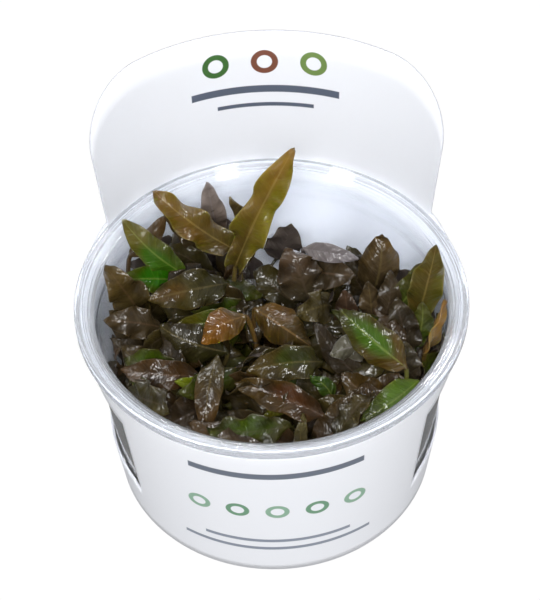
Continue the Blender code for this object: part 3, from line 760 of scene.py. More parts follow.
@dataclass(frozen=True)
class BoardSleeve:
    """The paperboard band with its raised card and two windows, in mm and degrees from the front."""

    board: float = 0.5
    foot_radius: float = 43.05
    foot: float = 0.3
    top: float = 58.2
    front_lean: float = 0.0862
    back_lean: float = 0.1295
    card_lean: float = 0.096
    lean_change: Pair = (60.0, 115.0)
    card_edge: float = 122.5
    card_shoulder: float = 83.0
    card_top: float = 101.4
    card_corner: float = 20.0
    shoulder_rise: Pair = (108.0, 2.6)
    window: Pair = (53.5, 96.0)
    window_tip: float = 13.5
    window_sill: float = 15.5
    window_corner_head: float = 45.5
    window_head: float = 50.0
    window_rise: Pair = (5.0, 25.0)
    window_rounding: float = 7.0
    step: float = 1.25
    window_step: float = 0.5
    corner_steps: tuple[float, ...] = (
        0.0, 0.08, 0.3, 0.7, 1.2, 1.9, 2.8, 4.0, 5.4, 7.2, 9.2, 11.5, 14.0, 17.0,
    )
    card_columns: int = 24
    rows: int = 5

    def radius(self, angle: float, height: float) -> float:
        """The board's middle: a cone that opens out more at the back, so that the card clears the lip."""
        share = smooth_step(abs(angle), *self.lean_change)
        lean = self.front_lean + (self.back_lean - self.front_lean) * share
        above = max(height - self.top, 0.0)
        return self.foot_radius + lean * min(height, self.top) + self.card_lean * above

    def card_height(self, angle: float) -> float:
        """The raised card's top edge, level across the middle and round at its corners."""
        arc = math.radians(180 - abs(angle)) * self.radius(angle, self.card_shoulder)
        edge = math.radians(180 - self.card_edge) * self.radius(self.card_edge, self.card_shoulder)
        into_corner = max(arc - (edge - self.card_corner), 0.0) / self.card_corner
        rise = self.card_top - self.card_shoulder
        return self.card_shoulder + rise * math.sqrt(max(1 - into_corner**2, 0.0))

    def window_edges(self, angle: float) -> Pair:
        """The heights of the window's lower and upper edges at an angle."""
        start, end = self.window
        turn = min(max(abs(angle), start), end)
        arc = math.radians(end - turn) * self.radius(end, self.window_sill)
        into_corner = max(1 - arc / self.window_rounding, 0.0)
        rounding = self.window_rounding * (1 - math.sqrt(max(1 - into_corner**2, 0.0)))
        low, high = (smooth_step(turn - start, 0.0, rise) for rise in self.window_rise)
        floor = self.window_tip + (self.window_sill - self.window_tip) * low
        head = self.window_corner_head + (self.window_head - self.window_corner_head) * high
        return floor + rounding, head - rounding

    def levels(self, angle: float) -> list[float]:
        """Main heights of a column: foot, window edges, band's top edge, and card's top edge."""
        start, rise = self.shoulder_rise
        edge = self.top + rise * smooth_step(abs(angle), start, self.card_edge)
        card = self.card_height(max(abs(angle), self.card_edge))
        return [self.foot, *self.window_edges(angle), edge, card]

    def angles(self) -> list[float]:
        """Angles of the sheet's columns, from the back round the front to the back."""
        marks = [0.0, self.window[0], self.window[1], self.card_edge]
        half = []
        for low, high in zip(marks, marks[1:]):
            step = self.window_step if low == self.window[0] else self.step
            count = round((high - low) / step)
            half += [low + (high - low) * i / count for i in range(count)]
        half += [self.card_edge + step for step in self.corner_steps]
        last, count = half[-1], self.card_columns
        half += [last + (180.0 - last) * i / count for i in range(1, count + 1)]
        return [-a for a in reversed(half[1:-1])] + half

    def column(self, angle: float) -> list[float]:
        """Every row's height at an angle, each main stretch split evenly."""
        levels = self.levels(angle)
        heights: list[float] = []
        for low, high in zip(levels, levels[1:]):
            heights += [low + (high - low) * i / self.rows for i in range(self.rows)]
        return heights + [levels[-1]]

    def sheet(self) -> Mesh:
        """The board's middle as one sheet, open at the windows, with its distances stored for the print."""
        angles = self.angles()
        shape = bmesh.new()
        arc_layer = shape.verts.layers.float.new("arc")
        up_layer = shape.verts.layers.float.new("up")
        columns = []
        for angle in angles:
            column = []
            turn = math.radians(angle)
            for height in self.column(angle):
                out = self.radius(angle, height)
                vert = shape.verts.new((out * MM * math.sin(turn), -out * MM * math.cos(turn), height * MM))
                far = abs(angle) > 90
                vert[arc_layer] = (turn - math.copysign(math.pi, turn) * far) * out * (-1 if far else 1)
                vert[up_layer] = height
                column.append(vert)
            columns.append(column)
        for i, angle in enumerate(angles):
            j = (i + 1) % len(angles)
            middle = abs(angle + angles[j]) / 2 if j else 180.0
            for row in range(len(columns[i]) - 1):
                band = row // self.rows
                if band == 1 and self.window[0] < middle < self.window[1]:
                    continue
                if band == 3 and middle < self.card_edge:
                    continue
                shape.faces.new((columns[i][row], columns[j][row], columns[j][row + 1], columns[i][row + 1]))
        bmesh.ops.delete(shape, geom=[v for v in shape.verts if not v.link_faces], context="VERTS")
        return finish_shape(shape, "sleeve_fine")

    def outside_marks(self) -> list[Rule | Dot]:
        """Plain print on the front: a rule over a row of five rings, and two finer rules below."""
        fine = [Rule((0.0, up), (width, 1.4), "#8A92A0") for up, width in ((12.0, 50.0), (16.0, 38.0))]
        inks = ("#8CB098", "#6E9A7C", "#8CB098", "#6E9A7C", "#8CB098")
        rings = [Dot((10.0 * i, 31.0), 3.0, ink, 1.7) for i, ink in enumerate(inks, -2)]
        return [Rule((0.0, 48.0), (44.0, 2.4), "#6A7280"), *fine, *rings]

    def inside_marks(self) -> list[Rule | Dot]:
        """Plain print on the card: three rings over two rules."""
        inks = ("#3F6B34", "#7A4A38", "#6F8A4A")
        rings = [Dot((13.0 * i, 92.0), 3.6, ink, 2.0) for i, ink in enumerate(inks, -1)]
        return [Rule((0.0, 83.5), (40.0, 2.2)), Rule((0.0, 78.5), (26.0, 1.2)), *rings]

    def build(self) -> Object:
        """Thickens the sheet and dresses its two faces and its cut edge."""
        board = CoatedBoard()
        dress = [
            board.material(BoardSide.OUTSIDE, self.outside_marks()),
            board.material(BoardSide.INSIDE, self.inside_marks()),
            board.material(BoardSide.EDGE),
        ]
        made = add_piece("sleeve_fine", self.sheet(), dress)
        thick = made.modifiers.new("board", "SOLIDIFY")
        thick.thickness = self.board * MM
        thick.offset = 0.0
        thick.material_offset = 1
        thick.material_offset_rim = 2
        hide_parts("sleeve")
        return made


@dataclass(frozen=True)
class GrowingGel:
    """The gel in the cup's foot, a little lower in its middle than at the wall, in mm."""

    top: float = 12.0
    gap: float = 0.3
    dip: float = 0.5
    steps: int = 96

    def build(self, cup: CultureCup) -> Object:
        """Turns the gel to the cup's inside and dresses it.

        Args:
            cup: the cup that holds it.

        Returns:
            The gel.
        """
        radius = cup.inside_radius(self.top) - self.gap
        low = cup.wall + 0.1 + self.gap
        foot = cup.base_radius - 1.0 - self.gap
        dips = ((radius, 1.0), (4.0, 1.0), (1.5, 0.8), (0.5, 0.4), (0.0, 0.0))
        surface = [(radius - inward, self.top - share * self.dip) for inward, share in dips]
        below = [(cup.inside_radius(2.5) - self.gap, 2.5), (foot - 0.4, low), (0.0, low)]
        mesh = turned_mesh("growing_gel_fine", surface + below, self.steps)
        made = add_piece("growing_gel_fine", mesh, [AgarGel().material()])
        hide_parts("growing_gel")
        return made


@dataclass(frozen=True)
class LeafForm:
    """How finely a leaf is meshed, and how much its margin waves and its skin puckers, in mm and shares."""

    stalk_rows: int = 14
    blade_rows: int = 50
    columns: int = 17
    wave: float = 0.16
    pucker: float = 0.12
    veins: float = 5.5
    vein_slant: float = 0.22
    lumps: float = 0.7
    lump_scale: float = 0.16
    notch: float = 0.06
    curl_from: float = 0.6
    stalk_radius: float = 0.62
    stalk_span: float = 30.0


@dataclass(frozen=True)
class LeafTraits:
    """One leaf's own chance shape: how often and where its margins wave and how it sways."""

    waves: tuple[Point, ...]
    notches: tuple[Pair, ...]
    sway: float
    droop: float
    fold: float
    seed: Vector

    @staticmethod
    def of(name: str) -> "LeafTraits":
        """The traits that a leaf of this name always has."""
        pick = random.Random(name).uniform
        return LeafTraits(
            tuple((pick(2.0, 3.4), pick(0, math.tau), pick(0.7, 1.2)) for _ in range(2)),
            tuple((pick(2.0, 3.6), pick(0, math.tau)) for _ in range(2)),
            pick(-1.3, 1.3),
            pick(-0.05, 0.3),
            pick(-0.4, 0.35),
            Vector([pick(-50, 50) for _ in range(3)]),
        )


@dataclass(frozen=True)
class GrownLeaf:
    """A leaf with the place where its stalk starts and the look that it is given."""

    leaf: Leaf
    foot: Vector
    look: Look


@dataclass
class LeafMaker:
    """Grows fine leaves on the same curves as their plain solids, in mm; they face the camera's way."""

    gel_top: float = 12.0
    gap: float = 0.3
    stem_radius: float = 2.4
    stem_height: float = 6.0
    foot_radius: float = 0.72
    stalk_approach: float = 3.0
    dish: float = 0.22
    thickness: float = 0.36
    wall_room: float = 0.45
    facing: Vector = field(default_factory=lambda: Vector((0.0, -0.67, 0.74)))
    cup: CultureCup = field(default_factory=CultureCup)

    def blade_width(self, share: float, taper: Pair = (0.6, 0.85)) -> float:
        """How wide a blade is along its length, 1 at its widest: a lance shape with a drawn-out tip.

        Args:
            share: how far along the blade, 0 to 1.
            taper: how fast it narrows towards its heel and its tip.

        Returns:
            The share of its full width.
        """
        heel, tip = taper
        widest = heel / (heel + tip)
        return (share / widest) ** heel * ((1 - share) / (1 - widest)) ** tip

    def curves(self, leaf: Leaf, foot: Vector) -> tuple[list[Vector], list[Vector]]:
        """Control points of the stalk and of the blade's midrib."""
        heel, tip = Vector(leaf.heel), Vector(leaf.tip)
        chord = tip - heel
        middle = (heel + tip) / 2 + 2 * leaf.arch * across(self.facing, chord)
        way = (middle - heel).normalized()
        rise = (heel - foot).length
        stalk = [foot, foot + Vector((0, 0, 0.35 * rise)), heel - self.stalk_approach * way, heel]
        return stalk, [heel, middle, tip]

    def frames(self, leaf: Leaf, points: list[Vector], middle: int) -> list[tuple[Vector, Vector]]:
        """Side and face directions at each point, carried evenly both ways from the blade's middle.

        Args:
            leaf: the leaf.
            points: its centre line from the foot to the tip.
            middle: the index of the blade's middle.

        Returns:
            A side and a face direction for each point.
        """
        count = len(points)
        ways = [(points[min(i + 1, count - 1)] - points[max(i - 1, 0)]).normalized() for i in range(count)]
        chord = Vector(leaf.tip) - Vector(leaf.heel)
        face = across(self.facing, chord)
        side = chord.normalized().cross(face)
        turn = math.radians(leaf.turn)
        face = face * math.cos(turn) + side * math.sin(turn)
        faces = [face] * count
        for order in (range(middle, count), range(middle - 1, -1, -1)):
            carried = face
            for i in order:
                carried = across(carried, ways[i])
                faces[i] = carried
        return [(way.cross(each).normalized(), each) for way, each in zip(ways, faces)]

    def off_wall(self, spot: Vector) -> Vector:
        """The shift that brings a place in from the cup's wall, as a leaf that is pressed against it."""
        if spot.z > self.cup.height - 3.0:
            return Vector()
        in_mouth = spot.z > self.cup.ledge_height - 1.5
        room = (self.cup.mouth_radius if in_mouth else self.cup.inside_radius(spot.z)) - self.wall_room
        reach = spot.xy.length
        return Vector((*spot.xy * (room / reach - 1), 0)) if reach > room else Vector()

    def tone(self, look: Look, share: float, out: float, on_blade: bool) -> Colour:
        """The colour at a place on a leaf.

        Args:
            look: the leaf's tones.
            share: how far along the blade, or along the stalk, 0 to 1.
            out: how far across the blade, -1 to 1.
            on_blade: whether the place is on the blade.

        Returns:
            Linear red, green, blue and alpha.
        """
        heel, tip = (Vector(linear(each)) for each in (look.heel, look.tip))
        if not on_blade:
            return tuple(Vector(linear(STALK_TONE)).lerp(heel, share**5))
        away = math.hypot(
            (share - look.patch_at[0]) / look.patch_reach[0], (out - look.patch_at[1]) / look.patch_reach[1]
        )
        shade = heel.lerp(tip, smooth_step(share, 0.05, 0.95))
        return tuple(shade.lerp(Vector(linear(look.patch)), 1 - smooth_step(away, 0.45, 1.0)))

    def level(self, look: Look, traits: LeafTraits, form: LeafForm, width: float, place: Point) -> float:
        """How far the blade's surface lifts off its midrib's plane.

        Args:
            look: the leaf's dome, curl and wave.
            traits: its own waves.
            form: its mesh form.
            width: the blade's full width.
            place: how far along and across the blade, and the half width there.

        Returns:
            The lift in mm.
        """
        share, out, half = place
        count, phase, size = traits.waves[0 if out < 0 else 1]
        swing = size * math.sin(math.tau * count * share + phase)
        ruffle = form.wave * look.wave * width * abs(out) ** 2 * swing
        gutter = (self.dish * (1 - 1.6 * look.dome) + look.fold + traits.fold) * half * abs(out)
        droop = -half * out * out * (traits.droop + 0.8 * look.dome)
        vein = math.cos(math.tau * form.veins * (share - form.vein_slant * abs(out)))
        pucker = form.pucker * vein * 4 * (1 - abs(out)) * abs(out)
        return gutter + droop + ruffle + pucker

    def grow(self, shape: BMesh, grown: GrownLeaf, form: LeafForm) -> None:
        """Adds one leaf to a mesh as a closed body: a round stalk that opens into a thin, waved blade.

        Args:
            shape: the mesh that it joins, from new_shape.
            grown: the leaf, its foot and its look.
            form: how it is meshed and waved.
        """
        leaf, look = grown.leaf, grown.look
        along, across_blade, wide, under, seed = (shape.verts.layers.float[name] for name in LEAF_LAYERS)
        tone = shape.verts.layers.float_color["tone"]
        traits = LeafTraits.of(leaf.name)
        stalk, blade = self.curves(leaf, grown.foot)
        length = (Vector(leaf.tip) - Vector(leaf.heel)).length
        shares = [(i / form.stalk_rows, False) for i in range(form.stalk_rows)]
        shares += [(i / form.blade_rows, True) for i in range(form.blade_rows)]
        points = [bezier(blade if on_blade else stalk, share) for share, on_blade in shares]
        points.append(Vector(leaf.tip))
        frames = self.frames(leaf, points, form.stalk_rows + form.blade_rows // 2)
        thetas = [math.pi * i / (form.columns - 1) for i in range(form.columns)]
        radius = form.stalk_radius
        rings = []
        for (share, on_blade), point, (side, face) in zip(shares, points, frames):
            full = leaf.width / 2 * self.blade_width(share, look.taper) if on_blade else 0.0
            opened = smooth_step(full, radius, 3.0 * radius)
            turn = math.radians(look.twist) * share * on_blade
            cosine, sine = math.cos(turn), math.sin(turn)
            side, face = side * cosine + face * sine, face * cosine - side * sine
            lift = opened * look.curl * length * max(share - form.curl_from, 0.0) ** 2 * 2.5
            ring = []
            for upper in (True, False):
                for theta in thetas if upper else reversed(thetas[1:-1]):
                    out = -math.cos(theta)
                    times, start = traits.notches[0 if out < 0 else 1]
                    edge = 1 + form.notch * look.wave * math.sin(math.tau * times * share + start)
                    half = max(full * edge, radius * (1 - 0.4 * share * on_blade))
                    rise = opened * self.level(look, traits, form, leaf.width, (share, out, half)) + lift
                    where = (point + out * half * side) * form.lump_scale + traits.seed
                    lump = form.lumps * opened * noise.noise(where)
                    rib = radius * 0.8 * (1 - share) * math.exp(-((out * half / (1.1 * radius)) ** 2))
                    thin = self.thickness / 2 * math.sqrt(max(math.sin(theta), 0.0))
                    flat = thin + (0.15 if upper else 1.0) * rib * math.sin(theta)
                    depth = (1 - opened) * radius * math.sin(theta) + opened * flat
                    sway = traits.sway * opened * math.sin(math.pi * share)
                    spot = point + (out * half + sway) * side + (rise + lump) * face
                    spot += self.off_wall(spot) + (depth if upper else -depth) * face
                    vert = shape.verts.new(spot * MM)
                    vert[along] = share * length if on_blade else (share - 1) * form.stalk_span
                    vert[across_blade] = out if on_blade else 0.0
                    vert[wide] = out * half
                    vert[under] = 0.0 if upper else opened
                    vert[seed] = traits.seed.x
                    vert[tone] = self.tone(look, share, out, on_blade)
                    ring.append(vert)
            rings.append(ring)
        end = shape.verts.new(Vector(leaf.tip) * MM)
        end[along] = length
        end[tone] = linear(look.tip)
        skin_rings(shape, [*rings, [end]])
        shape.faces.new(list(reversed(rings[0])))

    def new_shape(self) -> BMesh:
        """An empty mesh with the layers that the leaf finishes read."""
        shape = bmesh.new()
        for name in LEAF_LAYERS:
            shape.verts.layers.float.new(name)
        shape.verts.layers.float_color.new("tone")
        return shape

    def coarse_tree(self, leaf: Leaf, foot: Vector, room: float, stalk_too: bool = True) -> BVHTree:
        """A few faces round a leaf, in mm, for finding what it would touch.

        Args:
            leaf: the leaf.
            foot: where its stalk starts.
            room: how far to keep clear of it; below 0, how far its margin may cross.
            stalk_too: whether the faces go round its stalk as well as its blade.

        Returns:
            The faces as a search tree.
        """
        stalk, blade = self.curves(leaf, foot)
        shares = [(share, stalk) for share in (0.0, 0.4, 0.75)]
        shares += [(share, blade) for share in (0.02, 0.15, 0.35, 0.6, 0.85)]
        points = [bezier(curve, share) for share, curve in shares] + [Vector(leaf.tip)]
        frames = self.frames(leaf, points, 5)
        spots, faces = [], []
        for index, (point, (side, face)) in enumerate(zip(points, frames)):
            share = shares[index][0] if index < len(shares) else 1.0
            on_blade = 3 <= index < len(shares)
            half = max(leaf.width / 2 * self.blade_width(share), 0.6) if on_blade else 0.6
            half = 0.15 if index == len(shares) else half
            rim = self.dish * half if on_blade else 0.0
            half = max(half + room, 0.3)
            thick = 0.3 + max(room, 0.0)
            spots += [point - half * side + rim * face, point + thick * face]
            spots += [point + half * side + rim * face, point - thick * face]
            if index > (0 if stalk_too else 3):
                low = 4 * (index - 1)
                faces += [(low + i, low + (i + 1) % 4, low + 4 + (i + 1) % 4, low + 4 + i) for i in range(4)]
        return BVHTree.FromPolygons(spots, faces)


@dataclass
class Plantlet:
    """One plant: its short stem, its long leaves and three kinds of small ones.

    Low leaves spread round the stem, wall leaves stand at the cup's wall, and fill leaves grow between
    the long ones. Lengths are in mm, turn and apart in degrees, and spread in radians. A pair holds the
    least and most, but each low height is of a heel and a tip, and the fill walls are theirs too.
    """

    crown: str
    maker: LeafMaker
    low_count: int = 5
    low_reaches: Point = (16.0, 13.0, 10.0)
    low_heights: tuple[Pair, ...] = ((27, 34), (22, 29), (18, 25), (14, 20), (10, 14))
    low_width: float = 7.0
    low_wall: float = 39.0
    low_turn: int = 12
    low_apart: int = 48
    wall_from: float = 25.0
    wall_count: int = 12
    wall_spread: float = 0.6
    wall_height: Pair = (14.0, 34.0)
    wall_length: Pair = (11.0, 17.0)
    wall_width: Pair = (8.0, 11.0)
    wall_gap: float = 0.7
    fill_count: int = 46
    fill_tries: int = 1500
    fill_room: float = -2.2
    fill_reach: Pair = (2.0, 18.0)
    fill_lift: Pair = (12.0, 33.0)
    fill_length: Pair = (13.0, 22.0)
    fill_width: Pair = (6.0, 10.5)
    fill_arch: Pair = (0.8, 2.2)
    fill_walls: Pair = (40.0, 42.5)

    def around(self, angle: float, out: float, height: float) -> Vector:
        """The point at an angle and distance from the stem's middle, at a height above its foot."""
        x, y = CROWNS[self.crown]
        lift = self.maker.gel_top + self.maker.gap + height
        return Vector((x + out * math.cos(angle), y + out * math.sin(angle), lift))

    def long_leaves(self) -> list[GrownLeaf]:
        """The long leaves in order around the stem, each with where its stalk starts."""
        middle = Vector(CROWNS[self.crown])

        def heading(leaf: Leaf) -> float:
            """The way that a leaf's heel lies from the stem."""
            way = Vector(leaf.heel[:2]) - middle
            return math.atan2(way.y, way.x)

        ordered = sorted((leaf for leaf in LEAVES if leaf.crown == self.crown), key=heading)
        gap = math.tau / len(ordered)
        start = sum(heading(leaf) - gap * i for i, leaf in enumerate(ordered)) / len(ordered)
        ring = self.maker.stem_radius + self.maker.gap + self.maker.foot_radius
        feet = [self.around(start + gap * i, ring, 0.0) for i in range(len(ordered))]
        return [GrownLeaf(leaf, foot, LOOKS[leaf.name]) for leaf, foot in zip(ordered, feet)]

    def low_leaf(self, angle: float, reach: float, heights: Pair) -> GrownLeaf:
        """A small low leaf whose stalk starts inside the stem."""
        heel = self.around(angle, 0.45 * reach, heights[0])
        tip = self.around(angle, reach, heights[1])
        name = f"low_{self.crown}_{round(math.degrees(angle))}"
        leaf = Leaf(name, self.crown, tuple(heel), tuple(tip), self.low_width, 1.0)
        look = random.Random(name).choice(FILL_LOOKS)
        return GrownLeaf(leaf, self.around(angle, 0.3, 0.5 * self.maker.stem_height), look)

    def low_leaves(self, taken: list[BVHTree]) -> list[GrownLeaf]:
        """The small leaves that spread low from the stem wherever the long stalks leave room."""
        kept: list[int] = []
        grown = []
        for heights, reach in itertools.product(self.low_heights, self.low_reaches):
            for degrees in range(0, 360, self.low_turn):
                angle = math.radians(degrees)
                near = any(abs((degrees - other + 180) % 360 - 180) < self.low_apart for other in kept)
                outside = self.around(angle, reach, 0).xy.length > self.low_wall
                if near or outside or len(kept) == self.low_count:
                    continue
                each = self.low_leaf(angle, reach, heights)
                trial = self.maker.coarse_tree(each.leaf, each.foot, 0.3)
                if not any(trial.overlap(other) for other in taken):
                    kept.append(degrees)
                    grown.append(each)
                    taken.append(self.maker.coarse_tree(each.leaf, each.foot, 0.0))
        return grown

    def wall_leaves(self) -> list[GrownLeaf]:
        """Leaves that stand pressed against the cup's wall beside this plant and face out through it.

        Returns:
            The leaves, each with where its stalk starts; none for a plant that is far from the wall.
        """
        x, y = CROWNS[self.crown]
        if math.hypot(x, y) < self.wall_from:
            return []
        chance = random.Random("wall " + self.crown)
        grown = []
        for number in range(self.wall_count):
            angle = math.atan2(y, x) + chance.uniform(-self.wall_spread, self.wall_spread)
            low = chance.uniform(*self.wall_height)
            lean = chance.gauss(0.0, 0.12)
            high = low + chance.uniform(*self.wall_length)
            heel, tip = self.at_wall(angle, low), self.at_wall(angle + lean, high)
            width = chance.uniform(*self.wall_width)
            turn = math.degrees(angle) + 90.0 + chance.gauss(0, 12)
            leaf = Leaf(f"wall_{self.crown}_{number}", self.crown, heel, tip, width, 0.3, turn=turn)
            look = replace(chance.choice(FILL_LOOKS), wave=0.6, taper=(0.5, 0.8))
            grown.append(GrownLeaf(leaf, self.in_stem(angle), look))
        return grown

    def at_wall(self, angle: float, height: float) -> Point:
        """The place beside the cup's wall at an angle round the cup and a height."""
        out = self.maker.cup.inside_radius(height) - self.wall_gap
        return out * math.cos(angle), out * math.sin(angle), height

    def in_stem(self, angle: float) -> Vector:
        """Where the stalk of a wall leaf or a fill leaf starts, inside the stem."""
        return self.around(angle, 0.6, 0.6 * self.maker.stem_height)

    def fill_leaves(self, taken: list[BVHTree]) -> list[GrownLeaf]:
        """More leaves of many sizes between the long ones, each wherever it finds room.

        Args:
            taken: what stands there already; each new leaf is added to it.

        Returns:
            The leaves, each with where its stalk starts.
        """
        chance = random.Random("fill " + self.crown)
        grown: list[GrownLeaf] = []
        for number in range(self.fill_tries):
            if len(grown) == self.fill_count:
                break
            angle = chance.uniform(0, math.tau)
            heel = self.around(angle, chance.uniform(*self.fill_reach), chance.uniform(*self.fill_lift))
            swing = angle + chance.gauss(0.0, 0.8)
            way = Vector((math.cos(swing), math.sin(swing), chance.uniform(-0.25, 0.7))).normalized()
            tip = heel + chance.uniform(*self.fill_length) * way
            width, arch = chance.uniform(*self.fill_width), chance.uniform(*self.fill_arch)
            turn = chance.gauss(0, 32)
            if any(end.xy.length > wall for end, wall in zip((heel, tip), self.fill_walls)):
                continue
            name = f"fill_{self.crown}_{number}"
            leaf = Leaf(name, self.crown, tuple(heel), tuple(tip), width, arch, turn=turn)
            look = replace(
                chance.choice(FILL_LOOKS), fold=chance.uniform(0, 0.5), dome=chance.uniform(0, 0.5),
                curl=chance.uniform(-0.5, 0.5), twist=chance.gauss(0, 25),
                taper=(chance.uniform(0.4, 0.9), chance.uniform(0.6, 1.1)),
            )
            each = GrownLeaf(leaf, self.in_stem(angle), look)
            trial = self.maker.coarse_tree(leaf, each.foot, self.fill_room, False)
            if not any(trial.overlap(other) for other in taken):
                grown.append(each)
                taken.append(trial)
        return grown

    def build_leaf(self, grown: GrownLeaf, finishes: dict[str, Material]) -> Object:
        """One long leaf as its own piece, in place of its plain solid."""
        leaf, shape = grown.leaf, self.maker.new_shape()
        self.maker.grow(shape, grown, LeafForm())
        name = f"leaf_{leaf.name}_fine"
        made = add_piece(name, finish_shape(shape, name), [finishes[leaf.finish]])
        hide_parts("leaf_" + leaf.name)
        return made

    def stem(self, shape: BMesh, steps: int = 20) -> None:
        """Adds the short stem that the stalks stand around, thickest near its foot."""
        radius, height = self.maker.stem_radius, self.maker.stem_height
        tone = shape.verts.layers.float_color["tone"]
        turns = [math.tau * i / steps for i in range(steps)]
        rings = []
        for out, up in ((0.12, 1.0), (0.5, 0.95), (0.85, 0.55), (1.0, 0.15), (0.8, 0.0)):
            ring = [self.around(a, out * radius * (1 + 0.06 * math.sin(5 * a)), up * height) for a in turns]
            rings.append([shape.verts.new(spot * MM) for spot in ring])
        for vert in itertools.chain(*rings):
            vert[tone] = linear(STALK_TONE)
        skin_rings(shape, rings)
        shape.faces.new(rings[0])
        shape.faces.new(list(reversed(rings[-1])))

    def build_crown(self, taken: list[BVHTree], finishes: dict[str, Material]) -> Object:
        """The stem with its low, wall and fill leaves as one piece, in place of its plain solid."""
        shape = self.maker.new_shape()
        self.stem(shape)
        small = LeafForm(stalk_rows=5, blade_rows=24, columns=9, stalk_radius=0.45)
        grown = self.low_leaves(taken) + self.wall_leaves() + self.fill_leaves(taken)
        for each in grown:
            self.maker.grow(shape, each, small)
        name = f"crown_{self.crown}_fine"
        made = add_piece(name, finish_shape(shape, name), [finishes["dark"]])
        LOG.info("crown %s: %d small leaves", self.crown, len(grown))
        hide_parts("crown_" + self.crown)
        return made


class LampUse(Enum):
    """What a lamp lights: everything, only the matt part of each surface, or only its gloss."""

    ALL = "all"
    MATT = "matt"
    GLOSS = "gloss"


@dataclass(frozen=True)
class Lamp:
    """A square soft light: its place and side in mm, its face's brightness, and what it lights."""

    name: str
    place: Point
    size: float
    radiance: float
    use: LampUse = LampUse.ALL


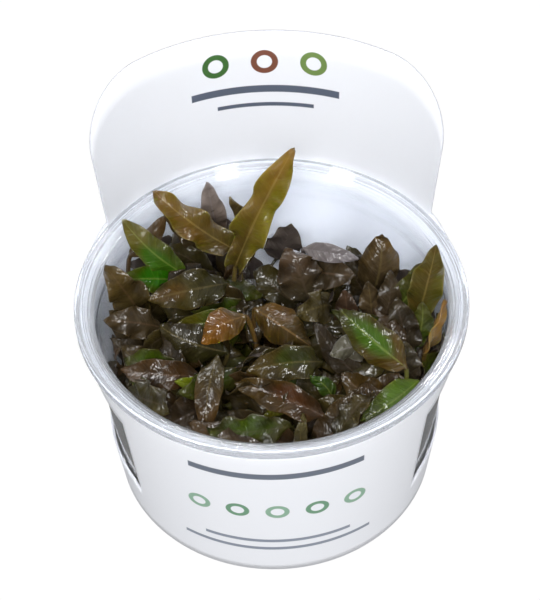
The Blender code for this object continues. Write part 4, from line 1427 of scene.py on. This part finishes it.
@dataclass(frozen=True)
class Studio:
    """A white table and soft light, and the camera where the photographer stood, in mm and degrees.

    The table's lights are how bright it is to the camera, to matt faces and as seen in gloss. The tent's
    lights are how bright it is far from the camera and in its opening, whose edge is at two angles.
    """

    rim_height: float = 61.0
    distance: float = 400.0
    elevation: float = 48.232
    roll: float = -1.673
    lens: float = 94.72
    sensor: float = 36.0
    shift: Pair = (-0.00195, -0.0109)
    floor_size: float = 4000.0
    table_light: Point = (1.02, 0.74, 0.2)
    tent_tone: str = "#F6F8FF"
    tent_opening: Pair = (62.0, 34.0)
    tent_light: Pair = (0.3, 0.08)
    aim_height: float = 50.0
    lamps: tuple[Lamp, ...] = (
        Lamp("key_light", (-220, -60, 640), 80, 35.0),
        Lamp("back_spark", (200, 300, 540), 80, 60.0, LampUse.GLOSS),
        Lamp("right_spark", (160, -260, 620), 100, 60.0, LampUse.GLOSS),
        Lamp("left_spark", (-280, -240, 500), 100, 60.0, LampUse.GLOSS),
        Lamp("back_softbox", (-60, 560, 900), 110, 40.0),
        Lamp("left_softbox", (-800, -300, 560), 700, 0.9, LampUse.MATT),
        Lamp("right_softbox", (800, -300, 560), 700, 1.1, LampUse.MATT),
        Lamp("front_softbox", (0, -900, 250), 900, 0.4, LampUse.MATT),
        Lamp("camera_softbox", (0, -466, 583), 300, 15.5, LampUse.MATT),
    )

    def to_camera(self) -> Vector:
        """The way from the cup to the camera."""
        tilt = math.radians(self.elevation)
        return Vector((0, -math.cos(tilt), math.sin(tilt)))

    def camera(self) -> None:
        """Stands the camera in front and above, looking at the middle of the cup's mouth."""
        back, right = self.to_camera(), Vector((1, 0, 0))
        up = back.cross(right)
        roll = math.radians(self.roll)
        rolled_right = right * math.cos(roll) + up * math.sin(roll)
        rolled_up = up * math.cos(roll) - right * math.sin(roll)
        data = bpy.data.cameras.new("studio_camera")
        data.lens, data.sensor_width = self.lens, self.sensor
        data.shift_x, data.shift_y = self.shift
        data.clip_start, data.clip_end = 0.01, 20.0
        made = link(bpy.data.objects.new("studio_camera", data))
        place = (Vector((0, 0, self.rim_height)) + back * self.distance) * MM
        turn = Matrix((rolled_right, rolled_up, back)).transposed().to_4x4()
        made.matrix_world = Matrix.Translation(place) @ turn
        bpy.context.scene.camera = made

    def floor(self) -> None:
        """Lays the lit white table that the cup stands on."""
        half = self.floor_size / 2 * MM
        mesh = bpy.data.meshes.new("studio_floor")
        corners = [(-half, -half, 0), (half, -half, 0), (half, half, 0), (-half, half, 0)]
        mesh.from_pydata(corners, [], [(0, 1, 2, 3)])
        tree = NodeTree("studio_light_table")
        tree.set_shader(Base_Color=linear("#000000"), Roughness=1.0, Specular_IOR_Level=0.0)
        ray = tree.add("LightPath").outputs
        seen, matt, mirrored = self.table_light
        glow = tree.math("ADD", tree.times(ray["Is Camera Ray"], seen - matt), matt)
        glow = tree.math("ADD", glow, tree.times(ray["Is Glossy Ray"], mirrored - matt))
        tree.set_shader(Emission_Color=linear("#FFFFFF"), Emission_Strength=glow)
        mesh.materials.append(tree.material)
        made = link(bpy.data.objects.new("studio_floor", mesh))

    def lamp(self, lamp: Lamp) -> None:
        """Hangs one square soft light that faces the cup."""
        data = bpy.data.lights.new(lamp.name, "AREA")
        data.size = lamp.size * MM
        data.energy = lamp.radiance * math.pi * (lamp.size * MM) ** 2
        made = link(bpy.data.objects.new(lamp.name, data))
        made.location = Vector(lamp.place) * MM
        made.visible_glossy = lamp.use is not LampUse.MATT
        made.visible_diffuse = lamp.use is not LampUse.GLOSS
        made.visible_transmission = made.visible_diffuse
        aim = Vector((0, 0, self.aim_height)) - Vector(lamp.place)
        made.rotation_euler = aim.to_track_quat("-Z", "Y").to_euler()

    def world(self) -> None:
        """Puts a white light tent round the cup, with its dark opening where the camera stands."""
        world = bpy.data.worlds.new("studio_room")
        world.use_nodes = True
        nodes, links = world.node_tree.nodes, world.node_tree.links
        sky = nodes["Background"]
        sky.inputs["Color"].default_value = linear(self.tent_tone)
        place = nodes.new("ShaderNodeTexCoord")
        near = nodes.new("ShaderNodeVectorMath")
        near.operation = "DOT_PRODUCT"
        near.inputs[1].default_value = self.to_camera()
        fade = nodes.new("ShaderNodeMapRange")
        fade.interpolation_type = "SMOOTHSTEP"
        edges = [math.cos(math.radians(angle)) for angle in self.tent_opening]
        fade.inputs["From Min"].default_value, fade.inputs["From Max"].default_value = edges
        fade.inputs["To Min"].default_value, fade.inputs["To Max"].default_value = self.tent_light
        links.new(place.outputs["Generated"], near.inputs[0])
        links.new(near.outputs["Value"], fade.inputs["Value"])
        links.new(fade.outputs["Result"], sky.inputs["Strength"])
        bpy.context.scene.world = world
        bpy.context.scene.view_settings.view_transform = "Standard"

    def build(self) -> None:
        """Sets up the room, the lights and the camera."""
        self.world()
        self.floor()
        for lamp in self.lamps:
            self.lamp(lamp)
        self.camera()


def box_tree(low: Point, high: Point) -> BVHTree:
    """A box's faces, in mm, for keeping leaves out of it."""
    spots = [Vector(corner) for corner in itertools.product(*zip(low, high))]
    faces = [(0, 1, 3, 2), (4, 6, 7, 5), (0, 4, 5, 1), (2, 3, 7, 6), (0, 2, 6, 4), (1, 5, 7, 3)]
    return BVHTree.FromPolygons(spots, faces)


def corners(box: tuple[Vector, Vector]) -> list[list[float]]:
    """A box's two corners as plain lists."""
    return [list(map(float, corner)) for corner in box]


def main() -> None:
    """Builds every piece in order."""
    logging.basicConfig(level=logging.INFO, format="%(message)s")
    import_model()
    cup = CultureCup()
    cup.build()
    BoardSleeve().build()
    GrowingGel().build(cup)
    maker = LeafMaker()
    finishes = {name: finish.material() for name, finish in LEAF_FINISHES.items()}
    plantlets = [Plantlet(crown, maker) for crown in CROWNS]
    taken = [box_tree(*space) for space in OPEN_SPACES]
    for plantlet in plantlets:
        for grown in plantlet.long_leaves():
            plantlet.build_leaf(grown, finishes)
            taken.append(maker.coarse_tree(grown.leaf, grown.foot, 0.0))
    for plantlet in plantlets:
        plantlet.build_crown(taken, finishes)
    Studio().build()


if __name__ == "__main__":
    main()
